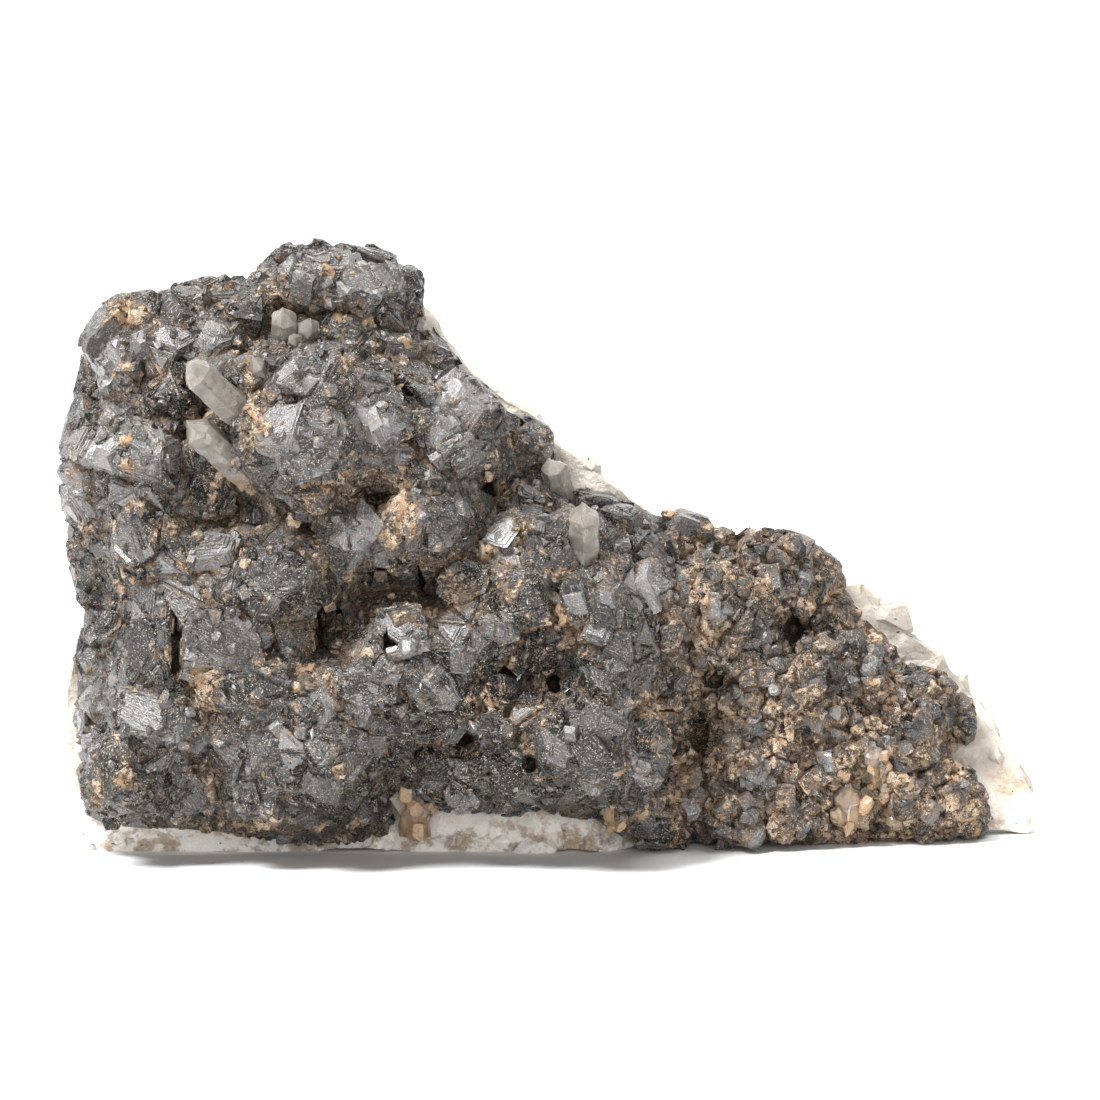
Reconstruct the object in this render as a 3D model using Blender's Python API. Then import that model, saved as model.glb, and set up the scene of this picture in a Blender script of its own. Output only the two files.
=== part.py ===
"""A sphalerite specimen: a dark crystal crust and small quartz crystals on a slab of pale quartz.

The crust faces -Y and +Z is up. Shapes are laid out as they are seen from in front of the crust, in
millimetres across and up from the middle of that view and in depth behind its middle plane, and are
turned into metres at the end.
"""

import itertools
import math

import bmesh
import bpy
import numpy as np
from mathutils import Matrix, Vector
from mathutils.geometry import delaunay_2d_cdt

MM = 0.001

# The view that the layout is drawn in. Its middle is placed so that the origin is below the middle
# of the whole specimen's box
VIEW_DISTANCE = 458.0
VIEW_RISE = math.radians(4.5)
VIEW_MIDDLE = Vector((-0.87, 1.23, 30.0))
RIGHT = Vector((1.0, 0.0, 0.0))
FORWARD = Vector((0.0, math.cos(VIEW_RISE), -math.sin(VIEW_RISE)))
UP = Vector((0.0, math.sin(VIEW_RISE), math.cos(VIEW_RISE)))

# Clear room between pieces that touch
GAP = 0.3

# The foot of each piece
MATRIX_FOOT = 0.0
CRUST_FOOT = 0.5

# How far apart the points of each surface are
CRUST_STEP = 1.9
MATRIX_STEP = 4.8
CONTACT_STEP = 5.0
HIDDEN_STEP = 9.0
SHARE_OF_CRUST_KEPT = 0.37
SLOPE_STEP = 0.8

# Where the rough blocks of crust and matrix start, before each is cut to the surface between them
CRUST_BLOCK_REAR = 6.0
MATRIX_BLOCK_FRONT = -12.0

# Half width and half height of a block that covers the whole view, and how deep it goes
COVER_WIDTH = 60.0
COVER_HEIGHT = 45.0
COVER_DEPTH = 60.0

# Slow waves of each surface: how high and how long, and the number that picks their directions
WAVE_COUNT = 5
CONTACT_WAVES = (0.5, 23.0, 5)
CRUST_WAVES = (0.5, 7.5, 11)
MATRIX_WAVES = (0.7, 9.0, 23)

# What picks the random turns of the crystals, and of the points inside each slab
CRYSTAL_SEED = 41
CRUST_SEED = 1
MATRIX_SEED = 2
CONTACT_SEED = 3

# Thickness of the crust where no lump raises it, and at its very edge
CRUST_THICKNESS = 4.5
CRUST_EDGE = 1.3
CRUST_EDGE_WIDTH = 4.5
LUMP_SHARPNESS = 5.0

# The surface where the crust sits on the matrix: its depth in the left block and in the right lobe
CONTACT_LEFT = -1.5
CONTACT_RIGHT = 8.0
CLIFF_START = 7.0
CLIFF_END = 15.0
CONTACT_FALL_RIGHT = 0.12
CONTACT_EDGE_FALL = 5.0
CONTACT_EDGE_WIDTH = 11.0

# The back of the matrix: breaks given as across, up, depth there, and how the depth grows across and up
MATRIX_BREAKS = [
    (0.0, 0.0, 20.0, 0.03, -0.02), (-20.0, 22.0, 15.5, 0.10, -0.85), (-43.0, 2.0, 12.5, 0.95, 0.05),
    (-34.0, 18.0, 13.5, 0.45, -0.55), (2.0, 7.0, 14.0, -0.42, -0.62), (30.0, -10.0, 19.0, -0.12, -0.38),
    (44.0, -20.0, 19.0, -0.60, -0.20), (-12.0, -24.0, 17.2, 0.02, 0.22), (-38.0, -16.0, 15.6, 0.30, 0.12),
]
MATRIX_EDGE_WIDTH = 5.0
MATRIX_EDGE_FALL = 3.0
MATRIX_LEAST_THICKNESS = 3.0

# Between these heights the surfaces go over from straight down at the foot to rounded at the edge
CONTACT_FOOT = (-26.0, -14.0)
MATRIX_REAR_FOOT = (-30.0, -18.0)

CRUST_OUTLINE = [
    (-24.5, 30.6), (-20.3, 30.3), (-18.0, 29.9), (-15.0, 28.8), (-13.3, 27.8), (-13.2, 25.8),
    (-13.6, 24.6), (-13.0, 22.6), (-12.2, 20.4), (-10.4, 19.5), (-8.8, 17.6), (-7.2, 16.0),
    (-5.5, 14.4), (-4.9, 12.8), (-4.0, 11.6), (-2.6, 12.6), (-0.6, 12.0), (-0.3, 9.0), (-1.6, 7.6),
    (1.0, 5.4), (4.6, 4.6), (9.0, 3.8), (15.5, 2.4), (21.5, 1.7), (25.0, 1.0), (26.6, 0.1),
    (28.0, -1.2), (29.1, -3.4), (29.4, -4.6), (31.8, -7.2), (33.5, -9.0), (35.0, -10.5),
    (36.0, -12.0), (39.4, -12.8), (41.0, -14.6), (42.3, -17.2), (41.2, -19.0), (40.0, -20.5),
    (41.5, -22.2), (43.8, -24.0), (43.8, -27.0), (42.8, -29.2), (40.0, -31.0), (13.0, -31.0),
    (9.0, -29.2), (5.0, -26.6), (1.0, -26.2), (-0.5, -25.6), (-4.0, -26.0), (-7.0, -26.2),
    (-11.0, -25.6), (-15.0, -25.4), (-16.5, -28.0), (-19.0, -29.0), (-22.0, -29.3),
    (-26.0, -29.0), (-33.0, -28.2), (-41.0, -27.5), (-45.0, -27.2), (-46.4, -24.8),
    (-46.8, -21.0), (-47.1, -16.0), (-46.9, -11.0), (-46.5, -8.0), (-46.7, -4.0), (-47.6, -0.6),
    (-48.0, 3.0), (-48.7, 8.0), (-48.6, 10.5), (-47.6, 12.2), (-46.2, 15.0), (-45.4, 17.8),
    (-46.2, 20.4), (-45.4, 22.6), (-44.6, 24.2), (-42.0, 25.2), (-37.4, 26.2), (-33.0, 27.0),
    (-30.0, 27.5), (-28.0, 28.6), (-26.6, 30.2),
]

MATRIX_OUTLINE = [
    (-45.5, -34.0), (-46.8, -28.2), (-47.1, -25.0), (-47.8, -21.0), (-48.1, -17.0), (-48.0, -14.0),
    (-47.5, -10.5), (-46.2, -8.6), (-45.6, -3.0), (-46.0, 3.0), (-46.4, 9.5), (-44.6, 14.0),
    (-43.6, 18.5), (-44.0, 22.0), (-42.0, 24.4), (-40.6, 25.9), (-38.6, 26.1), (-35.5, 25.4),
    (-31.0, 25.8), (-26.0, 28.8), (-21.0, 29.4), (-15.8, 28.0), (-13.9, 26.0), (-13.2, 24.2),
    (-11.6, 22.4), (-10.9, 20.8), (-8.0, 17.8), (-4.5, 15.2), (-1.5, 13.2), (-0.4, 11.3),
    (1.0, 10.0), (3.0, 8.8), (5.0, 7.0), (8.0, 4.7), (10.2, 3.2), (15.0, 1.8), (21.0, 1.0),
    (25.5, -0.2), (28.0, -2.6), (29.2, -4.2), (31.2, -3.7), (32.7, -5.0), (33.0, -6.2),
    (35.5, -8.2), (39.0, -10.7), (41.5, -14.0), (43.5, -16.5), (45.5, -19.8), (47.2, -23.0),
    (48.3, -25.8), (48.9, -27.6), (48.6, -34.0),
]

# Lumps of the crust: across, up, half width, half height, rise
LUMPS = [
    (-21.5, 26.0, 9.0, 5.2, 12.0), (-37.5, 20.5, 9.5, 8.0, 12.5), (-24.0, 13.0, 9.2, 8.8, 20.0),
    (-11.0, 13.5, 7.6, 7.6, 16.0), (-15.0, 3.0, 7.6, 6.2, 18.0), (-41.5, 8.0, 7.8, 6.4, 14.5),
    (-28.0, -2.8, 7.2, 5.4, 17.0), (-35.0, -8.8, 7.6, 6.6, 16.5), (-40.5, -18.5, 8.0, 8.2, 14.0),
    (-26.0, -18.0, 9.4, 8.8, 18.0), (-13.0, -13.0, 8.4, 7.4, 18.5), (-6.5, -20.5, 8.4, 6.4, 16.0),
    (2.5, -19.0, 7.8, 7.6, 17.5), (1.0, -1.0, 8.6, 6.2, 12.5), (7.0, -9.5, 6.2, 8.6, 14.5),
    (-2.0, 8.8, 4.2, 4.4, 7.0), (-38.5, -0.5, 7.0, 5.0, 13.0), (-4.5, -7.0, 7.0, 6.2, 15.0),
    (17.0, -5.0, 5.6, 5.6, 10.5), (24.0, -2.0, 6.2, 4.4, 9.5), (21.0, -13.0, 7.6, 6.4, 9.5),
    (29.5, -11.5, 6.8, 6.4, 8.5), (22.5, -23.5, 8.6, 7.0, 10.5), (33.0, -21.5, 7.6, 7.2, 8.5),
    (38.5, -18.0, 5.0, 5.2, 6.5), (39.0, -26.0, 5.6, 4.4, 6.5),
]

# Broad hollows between the lumps: across, up, half width, half height, depth
HOLLOWS = [
    (-41.0, 16.8, 2.4, 2.2, 5.5), (-35.6, 12.8, 1.9, 2.2, 6.0), (-25.4, 22.6, 4.6, 2.4, 8.5),
    (-30.0, 17.5, 2.2, 2.4, 6.0), (-17.6, 5.4, 2.3, 1.8, 4.0), (-12.8, -3.0, 1.6, 2.4, 3.0),
    (-8.5, -19.2, 1.8, 1.6, 3.0), (-12.6, -20.2, 1.9, 1.7, 3.0), (24.3, -8.0, 1.7, 2.2, 3.0),
    (15.2, -18.2, 2.2, 2.6, 5.0), (-34.5, -22.0, 1.8, 2.2, 4.0), (-19.5, -22.5, 1.8, 2.4, 4.0),
    (0.4, -13.4, 1.8, 1.6, 3.0), (32.5, -25.5, 1.7, 1.6, 3.0),
]

# Narrow pits and clefts: across, up, half width, half height, depth
PITS = [
    (-17.6, 5.2, 1.9, 1.3, 5.5), (-14.0, 16.0, 0.9, 0.9, 4.0), (-6.0, 6.0, 1.0, 1.0, 5.0),
    (-12.8, -3.0, 0.9, 1.7, 6.0), (-17.0, -3.0, 0.9, 1.3, 5.0), (-16.0, -9.2, 0.8, 1.3, 4.5),
    (-4.4, -12.6, 0.8, 1.1, 4.5), (0.4, -13.4, 1.0, 0.9, 5.0), (-8.5, -19.2, 1.0, 1.0, 5.0),
    (-12.6, -20.3, 1.2, 1.0, 5.0), (-2.0, -21.4, 0.9, 1.1, 4.0), (8.7, 3.4, 0.8, 0.8, 3.5),
    (24.3, -8.0, 0.9, 1.4, 4.0), (16.5, -13.0, 0.9, 1.0, 2.5), (-37.4, -9.4, 0.9, 5.6, 5.5),
    (-23.0, -8.4, 0.8, 2.7, 5.0), (-20.7, -6.5, 0.7, 0.8, 3.5),
]
PIT_SIDES = 7
PIT_MOUTH = 1.15
PIT_FLOOR = 0.45
PIT_ABOVE = 4.0

# Crystals that stand out: across, up, width, height, turn to the right, pitch upwards, roll
MAIN_CRYSTALS = [
    (-43.4, 19.4, 3.4, 7.2, -24, 0, 4), (-40.0, 23.2, 3.4, 2.8, -5, 16, 12),
    (-34.0, 20.8, 3.3, 3.2, 8, 10, 15), (-37.5, 15.2, 4.6, 4.6, -15, -5, 40),
    (-41.2, 9.5, 7.6, 4.6, -16, 8, -12), (-45.8, 9.5, 3.4, 3.4, -16, 5, 8),
    (-46.2, 5.0, 3.0, 4.2, -16, -5, -6), (-34.8, 6.8, 4.8, 6.6, 4, 6, 6),
    (-41.0, 1.0, 5.0, 4.4, -12, -6, 22), (-33.0, -0.7, 4.6, 3.8, 0, 18, 10),
    (-33.2, -9.3, 6.8, 4.8, 4, 14, -4), (-30.2, -13.6, 8.6, 4.4, 2, -14, -3),
    (-26.5, -8.6, 6.4, 4.6, 10, 12, 12), (-27.8, -3.0, 6.6, 4.8, 0, 6, -10),
    (-39.2, -17.0, 7.4, 4.0, -10, 6, -9), (-42.6, -22.0, 4.8, 4.6, -8, 0, 30),
    (-23.2, 16.8, 4.6, 3.6, 6, 20, 24), (-28.0, 3.8, 4.6, 4.0, -8, -14, 12),
    (-24.0, 5.2, 3.2, 4.2, 4, -16, -8), (-15.8, 19.5, 5.0, 2.8, 10, 24, 4),
    (-17.2, 12.8, 4.2, 4.2, 14, 4, 32), (-8.8, 14.2, 4.8, 6.2, 12, 6, 6),
    (-16.4, 10.0, 5.4, 3.2, 6, -6, -4), (-10.0, 9.6, 3.0, 3.0, 8, -8, 30),
    (-11.5, 2.6, 4.0, 4.6, 8, 6, 4), (-20.0, 1.6, 5.4, 4.6, -4, 0, 45),
    (-2.4, 4.6, 3.2, 3.8, 14, 10, 8), (-4.6, 0.4, 3.6, 3.6, 8, 8, 20),
    (-14.6, -8.8, 3.8, 5.0, 4, 4, 12), (-17.8, -13.8, 6.0, 4.2, -6, 0, 12),
    (-5.5, -14.2, 5.4, 3.4, 6, 6, -8), (-6.5, -17.4, 3.6, 2.6, 4, 6, 10),
    (2.2, -18.8, 6.8, 5.8, 8, 2, 14), (4.8, -13.5, 2.8, 3.0, 12, 4, 6),
    (10.0, -4.2, 3.2, 3.0, 10, 8, 20), (16.8, -4.6, 4.4, 5.2, 6, 8, 8),
    (16.8, -11.6, 3.2, 3.2, 0, 6, 26), (22.3, -0.4, 5.6, 4.0, 6, 12, 10),
    (28.0, -16.4, 2.8, 3.0, 4, 0, 45), (28.0, -21.5, 3.2, 2.8, 0, 8, 12),
    (14.4, -25.6, 3.2, 3.0, -8, 0, 14), (18.3, -26.6, 4.2, 4.6, 0, -6, 6),
    (9.0, -20.0, 4.0, 5.0, 18, 0, -10), (-22.5, 27.6, 5.0, 3.2, 0, 10, 8),
    (-17.2, 26.0, 4.2, 3.6, 6, 6, 14), (-36.0, 24.0, 4.0, 3.2, 0, 20, -14),
    (-24.0, 11.0, 6.4, 5.6, -4, -2, 18), (-22.0, -20.0, 5.6, 5.0, 2, -4, 22),
    (-2.2, 10.4, 3.4, 3.2, 16, 12, 12), (37.5, -15.8, 3.0, 2.8, 12, 8, 16),
]

# Crystals sown over the rest of the crust: spacing and size in the left block and in the right lobe
SOWN_SPACING_LEFT = 5.4
SOWN_SPACING_RIGHT = 4.2
SOWN_SIZE_LEFT = (2.6, 4.6)
SOWN_SIZE_RIGHT = (2.0, 3.4)
SOWN_MARGIN = 1.4
SOWN_SHIFT = 1.2
SOWN_LEFT_END = -49.0
SOWN_CHANGE = 12.0
SOWN_RIGHT_END = 44.0
SOWN_LOWEST = -27.5
SOWN_HIGHEST = 30.0
ROW_SPACING = 0.87
SOWN_TILT = 20
SOWN_ROLL = 16
ROLL_OF_NEXT_LUMP = 37
CRYSTAL_PROUD = 0.3
MOST_PROUD = 1.35
CRYSTAL_DEPTH = 1.15
SLOPE_FOLLOWED = 0.75
STEEPEST_FOLLOWED = math.radians(42)

# Crystals on the crust's outer walls: how far apart, their size, and how far up the wall from the matrix
WALL_SPACING = 7.0
WALL_SIZE = (3.0, 4.6)
WALL_PLACE = (0.35, 0.75)
WALL_LOWEST = -24.0

# Quartz crystals: name, then for each crystal its base and tip (across, up), width, sink and lift
QUARTZ = [
    ("quartz_crystal_upper_left", [((-31.2, 13.8), (-36.7, 18.9), 3.0, 1.6, 2.6)]),
    ("quartz_crystal_lower_left", [((-31.2, 8.4), (-36.6, 13.2), 2.8, 1.6, 2.2)]),
    (
        "quartz_cluster_below_top",
        [
            ((-26.5, 20.6), (-26.7, 24.4), 2.5, 1.2, 2.2),
            ((-24.5, 20.4), (-24.0, 23.3), 2.2, 1.2, 2.0),
            ((-25.6, 19.4), (-25.4, 21.6), 1.4, 1.0, 2.4),
        ],
    ),
    ("quartz_crystal_below_top_right", [((-18.2, 22.6), (-21.4, 23.2), 1.7, 0.8, 1.4)]),
    ("quartz_crystal_beside_dome", [((-28.6, 16.6), (-29.8, 19.4), 1.8, 1.0, 1.8)]),
    ("quartz_crystal_right_edge_upper", [((1.6, 4.4), (-0.2, 9.6), 2.4, 1.2, 2.2)]),
    ("quartz_crystal_right_edge_lower", [((3.5, -0.8), (3.3, 5.1), 3.1, 1.4, 2.6)]),
    ("quartz_crystal_bottom_tan", [((-13.5, -27.0), (-13.3, -22.2), 3.6, 1.2, 2.4)]),
    ("quartz_crystal_bottom_brown", [((6.2, -26.5), (6.1, -22.9), 1.8, 0.9, 1.6)]),
    ("quartz_crystal_right_lobe_upper", [((32.5, -22.4), (32.2, -19.0), 2.2, 0.9, 1.5)]),
    ("quartz_crystal_right_lobe_right", [((34.6, -26.8), (34.2, -22.9), 1.7, 0.9, 1.5)]),
    ("quartz_crystal_right_lobe_lower", [((29.6, -26.0), (29.9, -22.9), 3.4, 1.0, 1.8)]),
]
QUARTZ_PYRAMID = math.radians(51.8)
QUARTZ_SINK_LENGTH = 0.25

CRUST_COLOR = (0.085, 0.088, 0.092, 1.0)
MATRIX_COLOR = (0.72, 0.68, 0.61, 1.0)
QUARTZ_COLOR = (0.74, 0.70, 0.64, 1.0)


def clear_scene():
    for old in list(bpy.data.objects):
        bpy.data.objects.remove(old)


def view_point(across, up, depth):
    """The point seen at (across, up), depth behind the middle plane of the view."""
    reach = 1.0 + depth / VIEW_DISTANCE
    return VIEW_MIDDLE + FORWARD * depth + RIGHT * (across * reach) + UP * (up * reach)


def smooth_step(start, end, value):
    share = np.clip((value - start) / (end - start), 0.0, 1.0)
    return share * share * (3.0 - 2.0 * share)


def edge_distance(outline, across, up):
    """How far each point is inside the outline, 0 at it."""
    corners = np.array(outline)
    ends = np.roll(corners, -1, axis=0)
    spans = ends - corners
    places = np.stack([np.atleast_1d(across), np.atleast_1d(up)], axis=-1)[:, None, :]
    share = ((places - corners) * spans).sum(-1) / (spans * spans).sum(-1)
    nearest = corners + np.clip(share, 0.0, 1.0)[..., None] * spans
    return np.sqrt(((places - nearest) ** 2).sum(-1)).min(axis=1)


def is_inside(outline, across, up):
    inside = False
    for (a, b), (c, d) in zip(outline, outline[1:] + outline[:1]):
        if (b > up) != (d > up) and across < a + (up - b) * (c - a) / (d - b):
            inside = not inside
    return inside


def bumps(across, up, high, long, seed):
    """Slow irregular waves, up to about this high and this long."""
    rng = np.random.default_rng(seed)
    total = np.zeros_like(across, dtype=float)
    for number in range(WAVE_COUNT):
        direction = rng.uniform(0, 2 * math.pi)
        phase = rng.uniform(0, 2 * math.pi)
        length = long / (1.0 + 0.55 * number)
        along = across * math.cos(direction) + up * math.sin(direction)
        total += np.sin(along * 2 * math.pi / length + phase) / (1.0 + 0.6 * number)
    return high * total / 2.6


def contact_depth(across, up):
    """Depth of the surface where the crust sits on the matrix."""
    across = np.atleast_1d(np.asarray(across, dtype=float))
    up = np.atleast_1d(np.asarray(up, dtype=float))
    back = smooth_step(CLIFF_START, CLIFF_END, across)
    depth = CONTACT_LEFT + (CONTACT_RIGHT - CONTACT_LEFT) * back
    depth += CONTACT_FALL_RIGHT * np.maximum(across - CLIFF_END, 0.0)
    near_edge = 1.0 - np.clip(edge_distance(CRUST_OUTLINE, across, up) / CONTACT_EDGE_WIDTH, 0, 1)
    above_foot = smooth_step(*CONTACT_FOOT, up)
    depth += CONTACT_EDGE_FALL * near_edge**2 * above_foot
    return depth + bumps(across, up, *CONTACT_WAVES)


def crust_rise(across, up):
    """Height of the crust over the matrix."""
    total = np.full_like(across, CRUST_THICKNESS, dtype=float) ** LUMP_SHARPNESS
    for lump_across, lump_up, half_width, half_height, rise in LUMPS:
        reach = ((across - lump_across) / half_width) ** 2 + ((up - lump_up) / half_height) ** 2
        dome = rise * np.sqrt(np.clip(1.0 - 0.62 * reach, 0.0, 1.0))
        total += dome**LUMP_SHARPNESS
    rise = total ** (1.0 / LUMP_SHARPNESS)
    for pit_across, pit_up, half_width, half_height, depth in HOLLOWS:
        reach = ((across - pit_across) / half_width) ** 2 + ((up - pit_up) / half_height) ** 2
        rise -= depth * np.exp(-reach)
    rise += bumps(across, up, *CRUST_WAVES)
    edge = np.clip(edge_distance(CRUST_OUTLINE, across, up) / CRUST_EDGE_WIDTH, 0.0, 1.0)
    rounded = np.sqrt(1.0 - (1.0 - edge) ** 2)
    return CRUST_EDGE + (np.maximum(rise, 2.0) - CRUST_EDGE) * rounded


def crust_front(across, up):
    """Depth of the crust's front surface."""
    across = np.atleast_1d(np.asarray(across, dtype=float))
    up = np.atleast_1d(np.asarray(up, dtype=float))
    return contact_depth(across, up) - crust_rise(across, up)


def crust_slope(across, up):
    """How fast the front goes back to the right and upwards."""
    right = crust_front(across + SLOPE_STEP, up) - crust_front(across - SLOPE_STEP, up)
    above = crust_front(across, up + SLOPE_STEP) - crust_front(across, up - SLOPE_STEP)
    return float(right[0]) / (2 * SLOPE_STEP), float(above[0]) / (2 * SLOPE_STEP)


def matrix_rear(across, up):
    """Depth of the matrix's broken back surface."""
    breaks = [
        depth + (across - at_across) * to_right + (up - at_up) * upwards
        for at_across, at_up, depth, to_right, upwards in MATRIX_BREAKS
    ]
    edge = np.clip(edge_distance(MATRIX_OUTLINE, across, up) / MATRIX_EDGE_WIDTH, 0.0, 1.0)
    fall = MATRIX_EDGE_FALL * (1.0 - edge) ** 2 * smooth_step(*MATRIX_REAR_FOOT, up)
    least = contact_depth(across, up) + MATRIX_LEAST_THICKNESS
    rough = bumps(across, up, *MATRIX_WAVES)
    return np.maximum(np.minimum.reduce(breaks) - fall + rough, least)


def mesh_object(name, bm):
    mesh = bpy.data.meshes.new(name)
    bm.to_mesh(mesh)
    bm.free()
    made = bpy.data.objects.new(name, mesh)
    bpy.context.scene.collection.objects.link(made)
    return made


def spaced_outline(outline, step):
    """The outline's corners, with points between them no further apart than step."""
    points = []
    for start, end in zip(outline, outline[1:] + outline[:1]):
        parts = max(1, math.ceil(math.dist(start, end) / step))
        for part in range(parts):
            share = part / parts
            points.append(
                (start[0] + (end[0] - start[0]) * share, start[1] + (end[1] - start[1]) * share)
            )
    return points


def filled_outline(outline, rim, step, seed):
    """Points and triangles that fill the outline. Its rim comes first and isn't moved."""
    rng = np.random.default_rng(seed)
    corners = np.array(rim)
    inner = []
    rows = np.arange(corners[:, 1].min(), corners[:, 1].max(), step * ROW_SPACING)
    for row, up in enumerate(rows):
        shift = 0.5 * step * (row % 2)
        for across in np.arange(corners[:, 0].min() + shift, corners[:, 0].max(), step):
            place = (across + rng.uniform(-0.2, 0.2) * step, up + rng.uniform(-0.2, 0.2) * step)
            if is_inside(outline, *place) and edge_distance(outline, *place)[0] > 0.55 * step:
                inner.append(place)
    points = [Vector(place) for place in list(rim) + inner]
    edges = [(index, (index + 1) % len(rim)) for index in range(len(rim))]
    flat, _, triangles, *_ = delaunay_2d_cdt(points, edges, [], 1, 1e-5)
    return [tuple(point) for point in flat], triangles


def slab(name, outline, front, rear, steps, seed):
    """A closed solid inside the outline, between two surfaces of the view's depth."""
    rim = spaced_outline(outline, min(steps))
    bm = bmesh.new()
    rings = []
    for surface, spacing in zip((front, rear), steps):
        points, triangles = filled_outline(outline, rim, spacing, seed)
        places = np.array(points)
        depths = surface(places[:, 0], places[:, 1])
        verts = [
            bm.verts.new(view_point(across, up, float(depth)))
            for (across, up), depth in zip(points, depths)
        ]
        for triangle in triangles:
            bm.faces.new([verts[index] for index in triangle])
        rings.append(verts[: len(rim)])
    for index in range(len(rim)):
        after = (index + 1) % len(rim)
        bm.faces.new((rings[0][index], rings[0][after], rings[1][after], rings[1][index]))
    bmesh.ops.recalc_face_normals(bm, faces=bm.faces)
    return mesh_object(name, bm)


def cut_foot(target, height):
    """Cuts the object off flat at this height, and closes the cut."""
    bm = bmesh.new()
    bm.from_mesh(target.data)
    cut = bmesh.ops.bisect_plane(
        bm,
        geom=bm.verts[:] + bm.edges[:] + bm.faces[:],
        plane_co=(0, 0, height),
        plane_no=(0, 0, -1),
        clear_outer=True,
    )
    rim = [item for item in cut["geom_cut"] if isinstance(item, bmesh.types.BMEdge)]
    bmesh.ops.holes_fill(bm, edges=rim, sides=0)
    bmesh.ops.recalc_face_normals(bm, faces=bm.faces)
    bm.to_mesh(target.data)
    bm.free()


def applied(target):
    """Replaces the object's mesh by what its modifiers make of it."""
    graph = bpy.context.evaluated_depsgraph_get()
    made = bpy.data.meshes.new_from_object(target.evaluated_get(graph))
    target.modifiers.clear()
    target.data = made


def combine(target, others, operation):
    """Joins the others to the target, or cuts them from it."""
    group = bpy.data.collections.new("operands")
    bpy.context.scene.collection.children.link(group)
    for other in others:
        group.objects.link(other)
    boolean = target.modifiers.new("combine", "BOOLEAN")
    boolean.operation = operation
    boolean.operand_type = "COLLECTION"
    boolean.collection = group
    bpy.context.view_layer.update()
    applied(target)
    bpy.data.collections.remove(group)


def keep_main_body(target):
    """Removes what a cut left loose, so that one connected body stays."""
    bm = bmesh.new()
    bm.from_mesh(target.data)
    waiting = set(bm.verts)
    bodies = []
    while waiting:
        body = set()
        edge_of_body = [waiting.pop()]
        while edge_of_body:
            vert = edge_of_body.pop()
            body.add(vert)
            for edge in vert.link_edges:
                other = edge.other_vert(vert)
                if other in waiting:
                    waiting.discard(other)
                    edge_of_body.append(other)
        bodies.append(body)
    bodies.sort(key=len, reverse=True)
    for body in bodies[1:]:
        bmesh.ops.delete(bm, geom=list(body), context="VERTS")
    bm.to_mesh(target.data)
    bm.free()


def remove_objects(others):
    for other in others:
        bpy.data.objects.remove(other)


def form_between(planes):
    """The closed form inside planes given as (normal, distance), as a bmesh."""
    normals = np.array([tuple(normal) for normal, _ in planes])
    reach = np.array([distance for _, distance in planes])
    corners = []
    for trio in itertools.combinations(range(len(planes)), 3):
        rows = normals[list(trio)]
        if abs(np.linalg.det(rows)) < 1e-4:
            continue
        corner = np.linalg.solve(rows, reach[list(trio)])
        if (normals @ corner <= reach + 1e-6).all():
            corners.append(corner)
    bm = bmesh.new()
    for corner in corners:
        bm.verts.new(corner)
    bmesh.ops.remove_doubles(bm, verts=bm.verts, dist=1e-4)
    bmesh.ops.convex_hull(bm, input=bm.verts)
    bmesh.ops.dissolve_limit(
        bm, angle_limit=math.radians(0.5), verts=bm.verts, edges=bm.edges
    )
    bmesh.ops.recalc_face_normals(bm, faces=bm.faces)
    return bm


def crystal_planes(width, height, rng):
    """A block with some of its corners and edges cut, as sphalerite shows them."""
    depth = CRYSTAL_DEPTH * min(width, height) * rng.uniform(0.8, 1.1)
    half = np.array([width, height, depth]) * 0.5
    planes = []
    for axis in range(3):
        for sign in (-1, 1):
            normal = np.zeros(3)
            normal[axis] = sign
            normal += rng.uniform(-0.05, 0.05, 3)
            planes.append((normal / np.linalg.norm(normal), half[axis]))
    corner_signs = [(1, 1, 1), (1, -1, 1), (-1, 1, 1), (-1, -1, 1)]
    for corner in rng.permutation(4)[: rng.integers(1, 5)]:
        normal = np.array(corner_signs[corner]) / half
        normal /= np.linalg.norm(normal)
        reach = float(np.abs(normal) @ half)
        planes.append((normal, reach * rng.uniform(0.66, 0.84)))
    return planes, depth


def turned_from_view(to_right, upwards, roll):
    """The turn of a crystal whose broad face looks at the viewer before it leans right and upwards."""
    facing = Matrix((RIGHT, UP, -FORWARD)).transposed()
    leaning = Matrix.Rotation(to_right, 3, "Y") @ Matrix.Rotation(-upwards, 3, "X")
    return (facing @ leaning @ Matrix.Rotation(math.radians(roll), 3, "Z")).to_4x4()


def lump_roll(across, up):
    """Crystals of one lump grew nearly parallel, so they share a roll."""
    reach = [
        ((across - entry[0]) / entry[2]) ** 2 + ((up - entry[1]) / entry[3]) ** 2 for entry in LUMPS
    ]
    return ROLL_OF_NEXT_LUMP * reach.index(min(reach))


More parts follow.
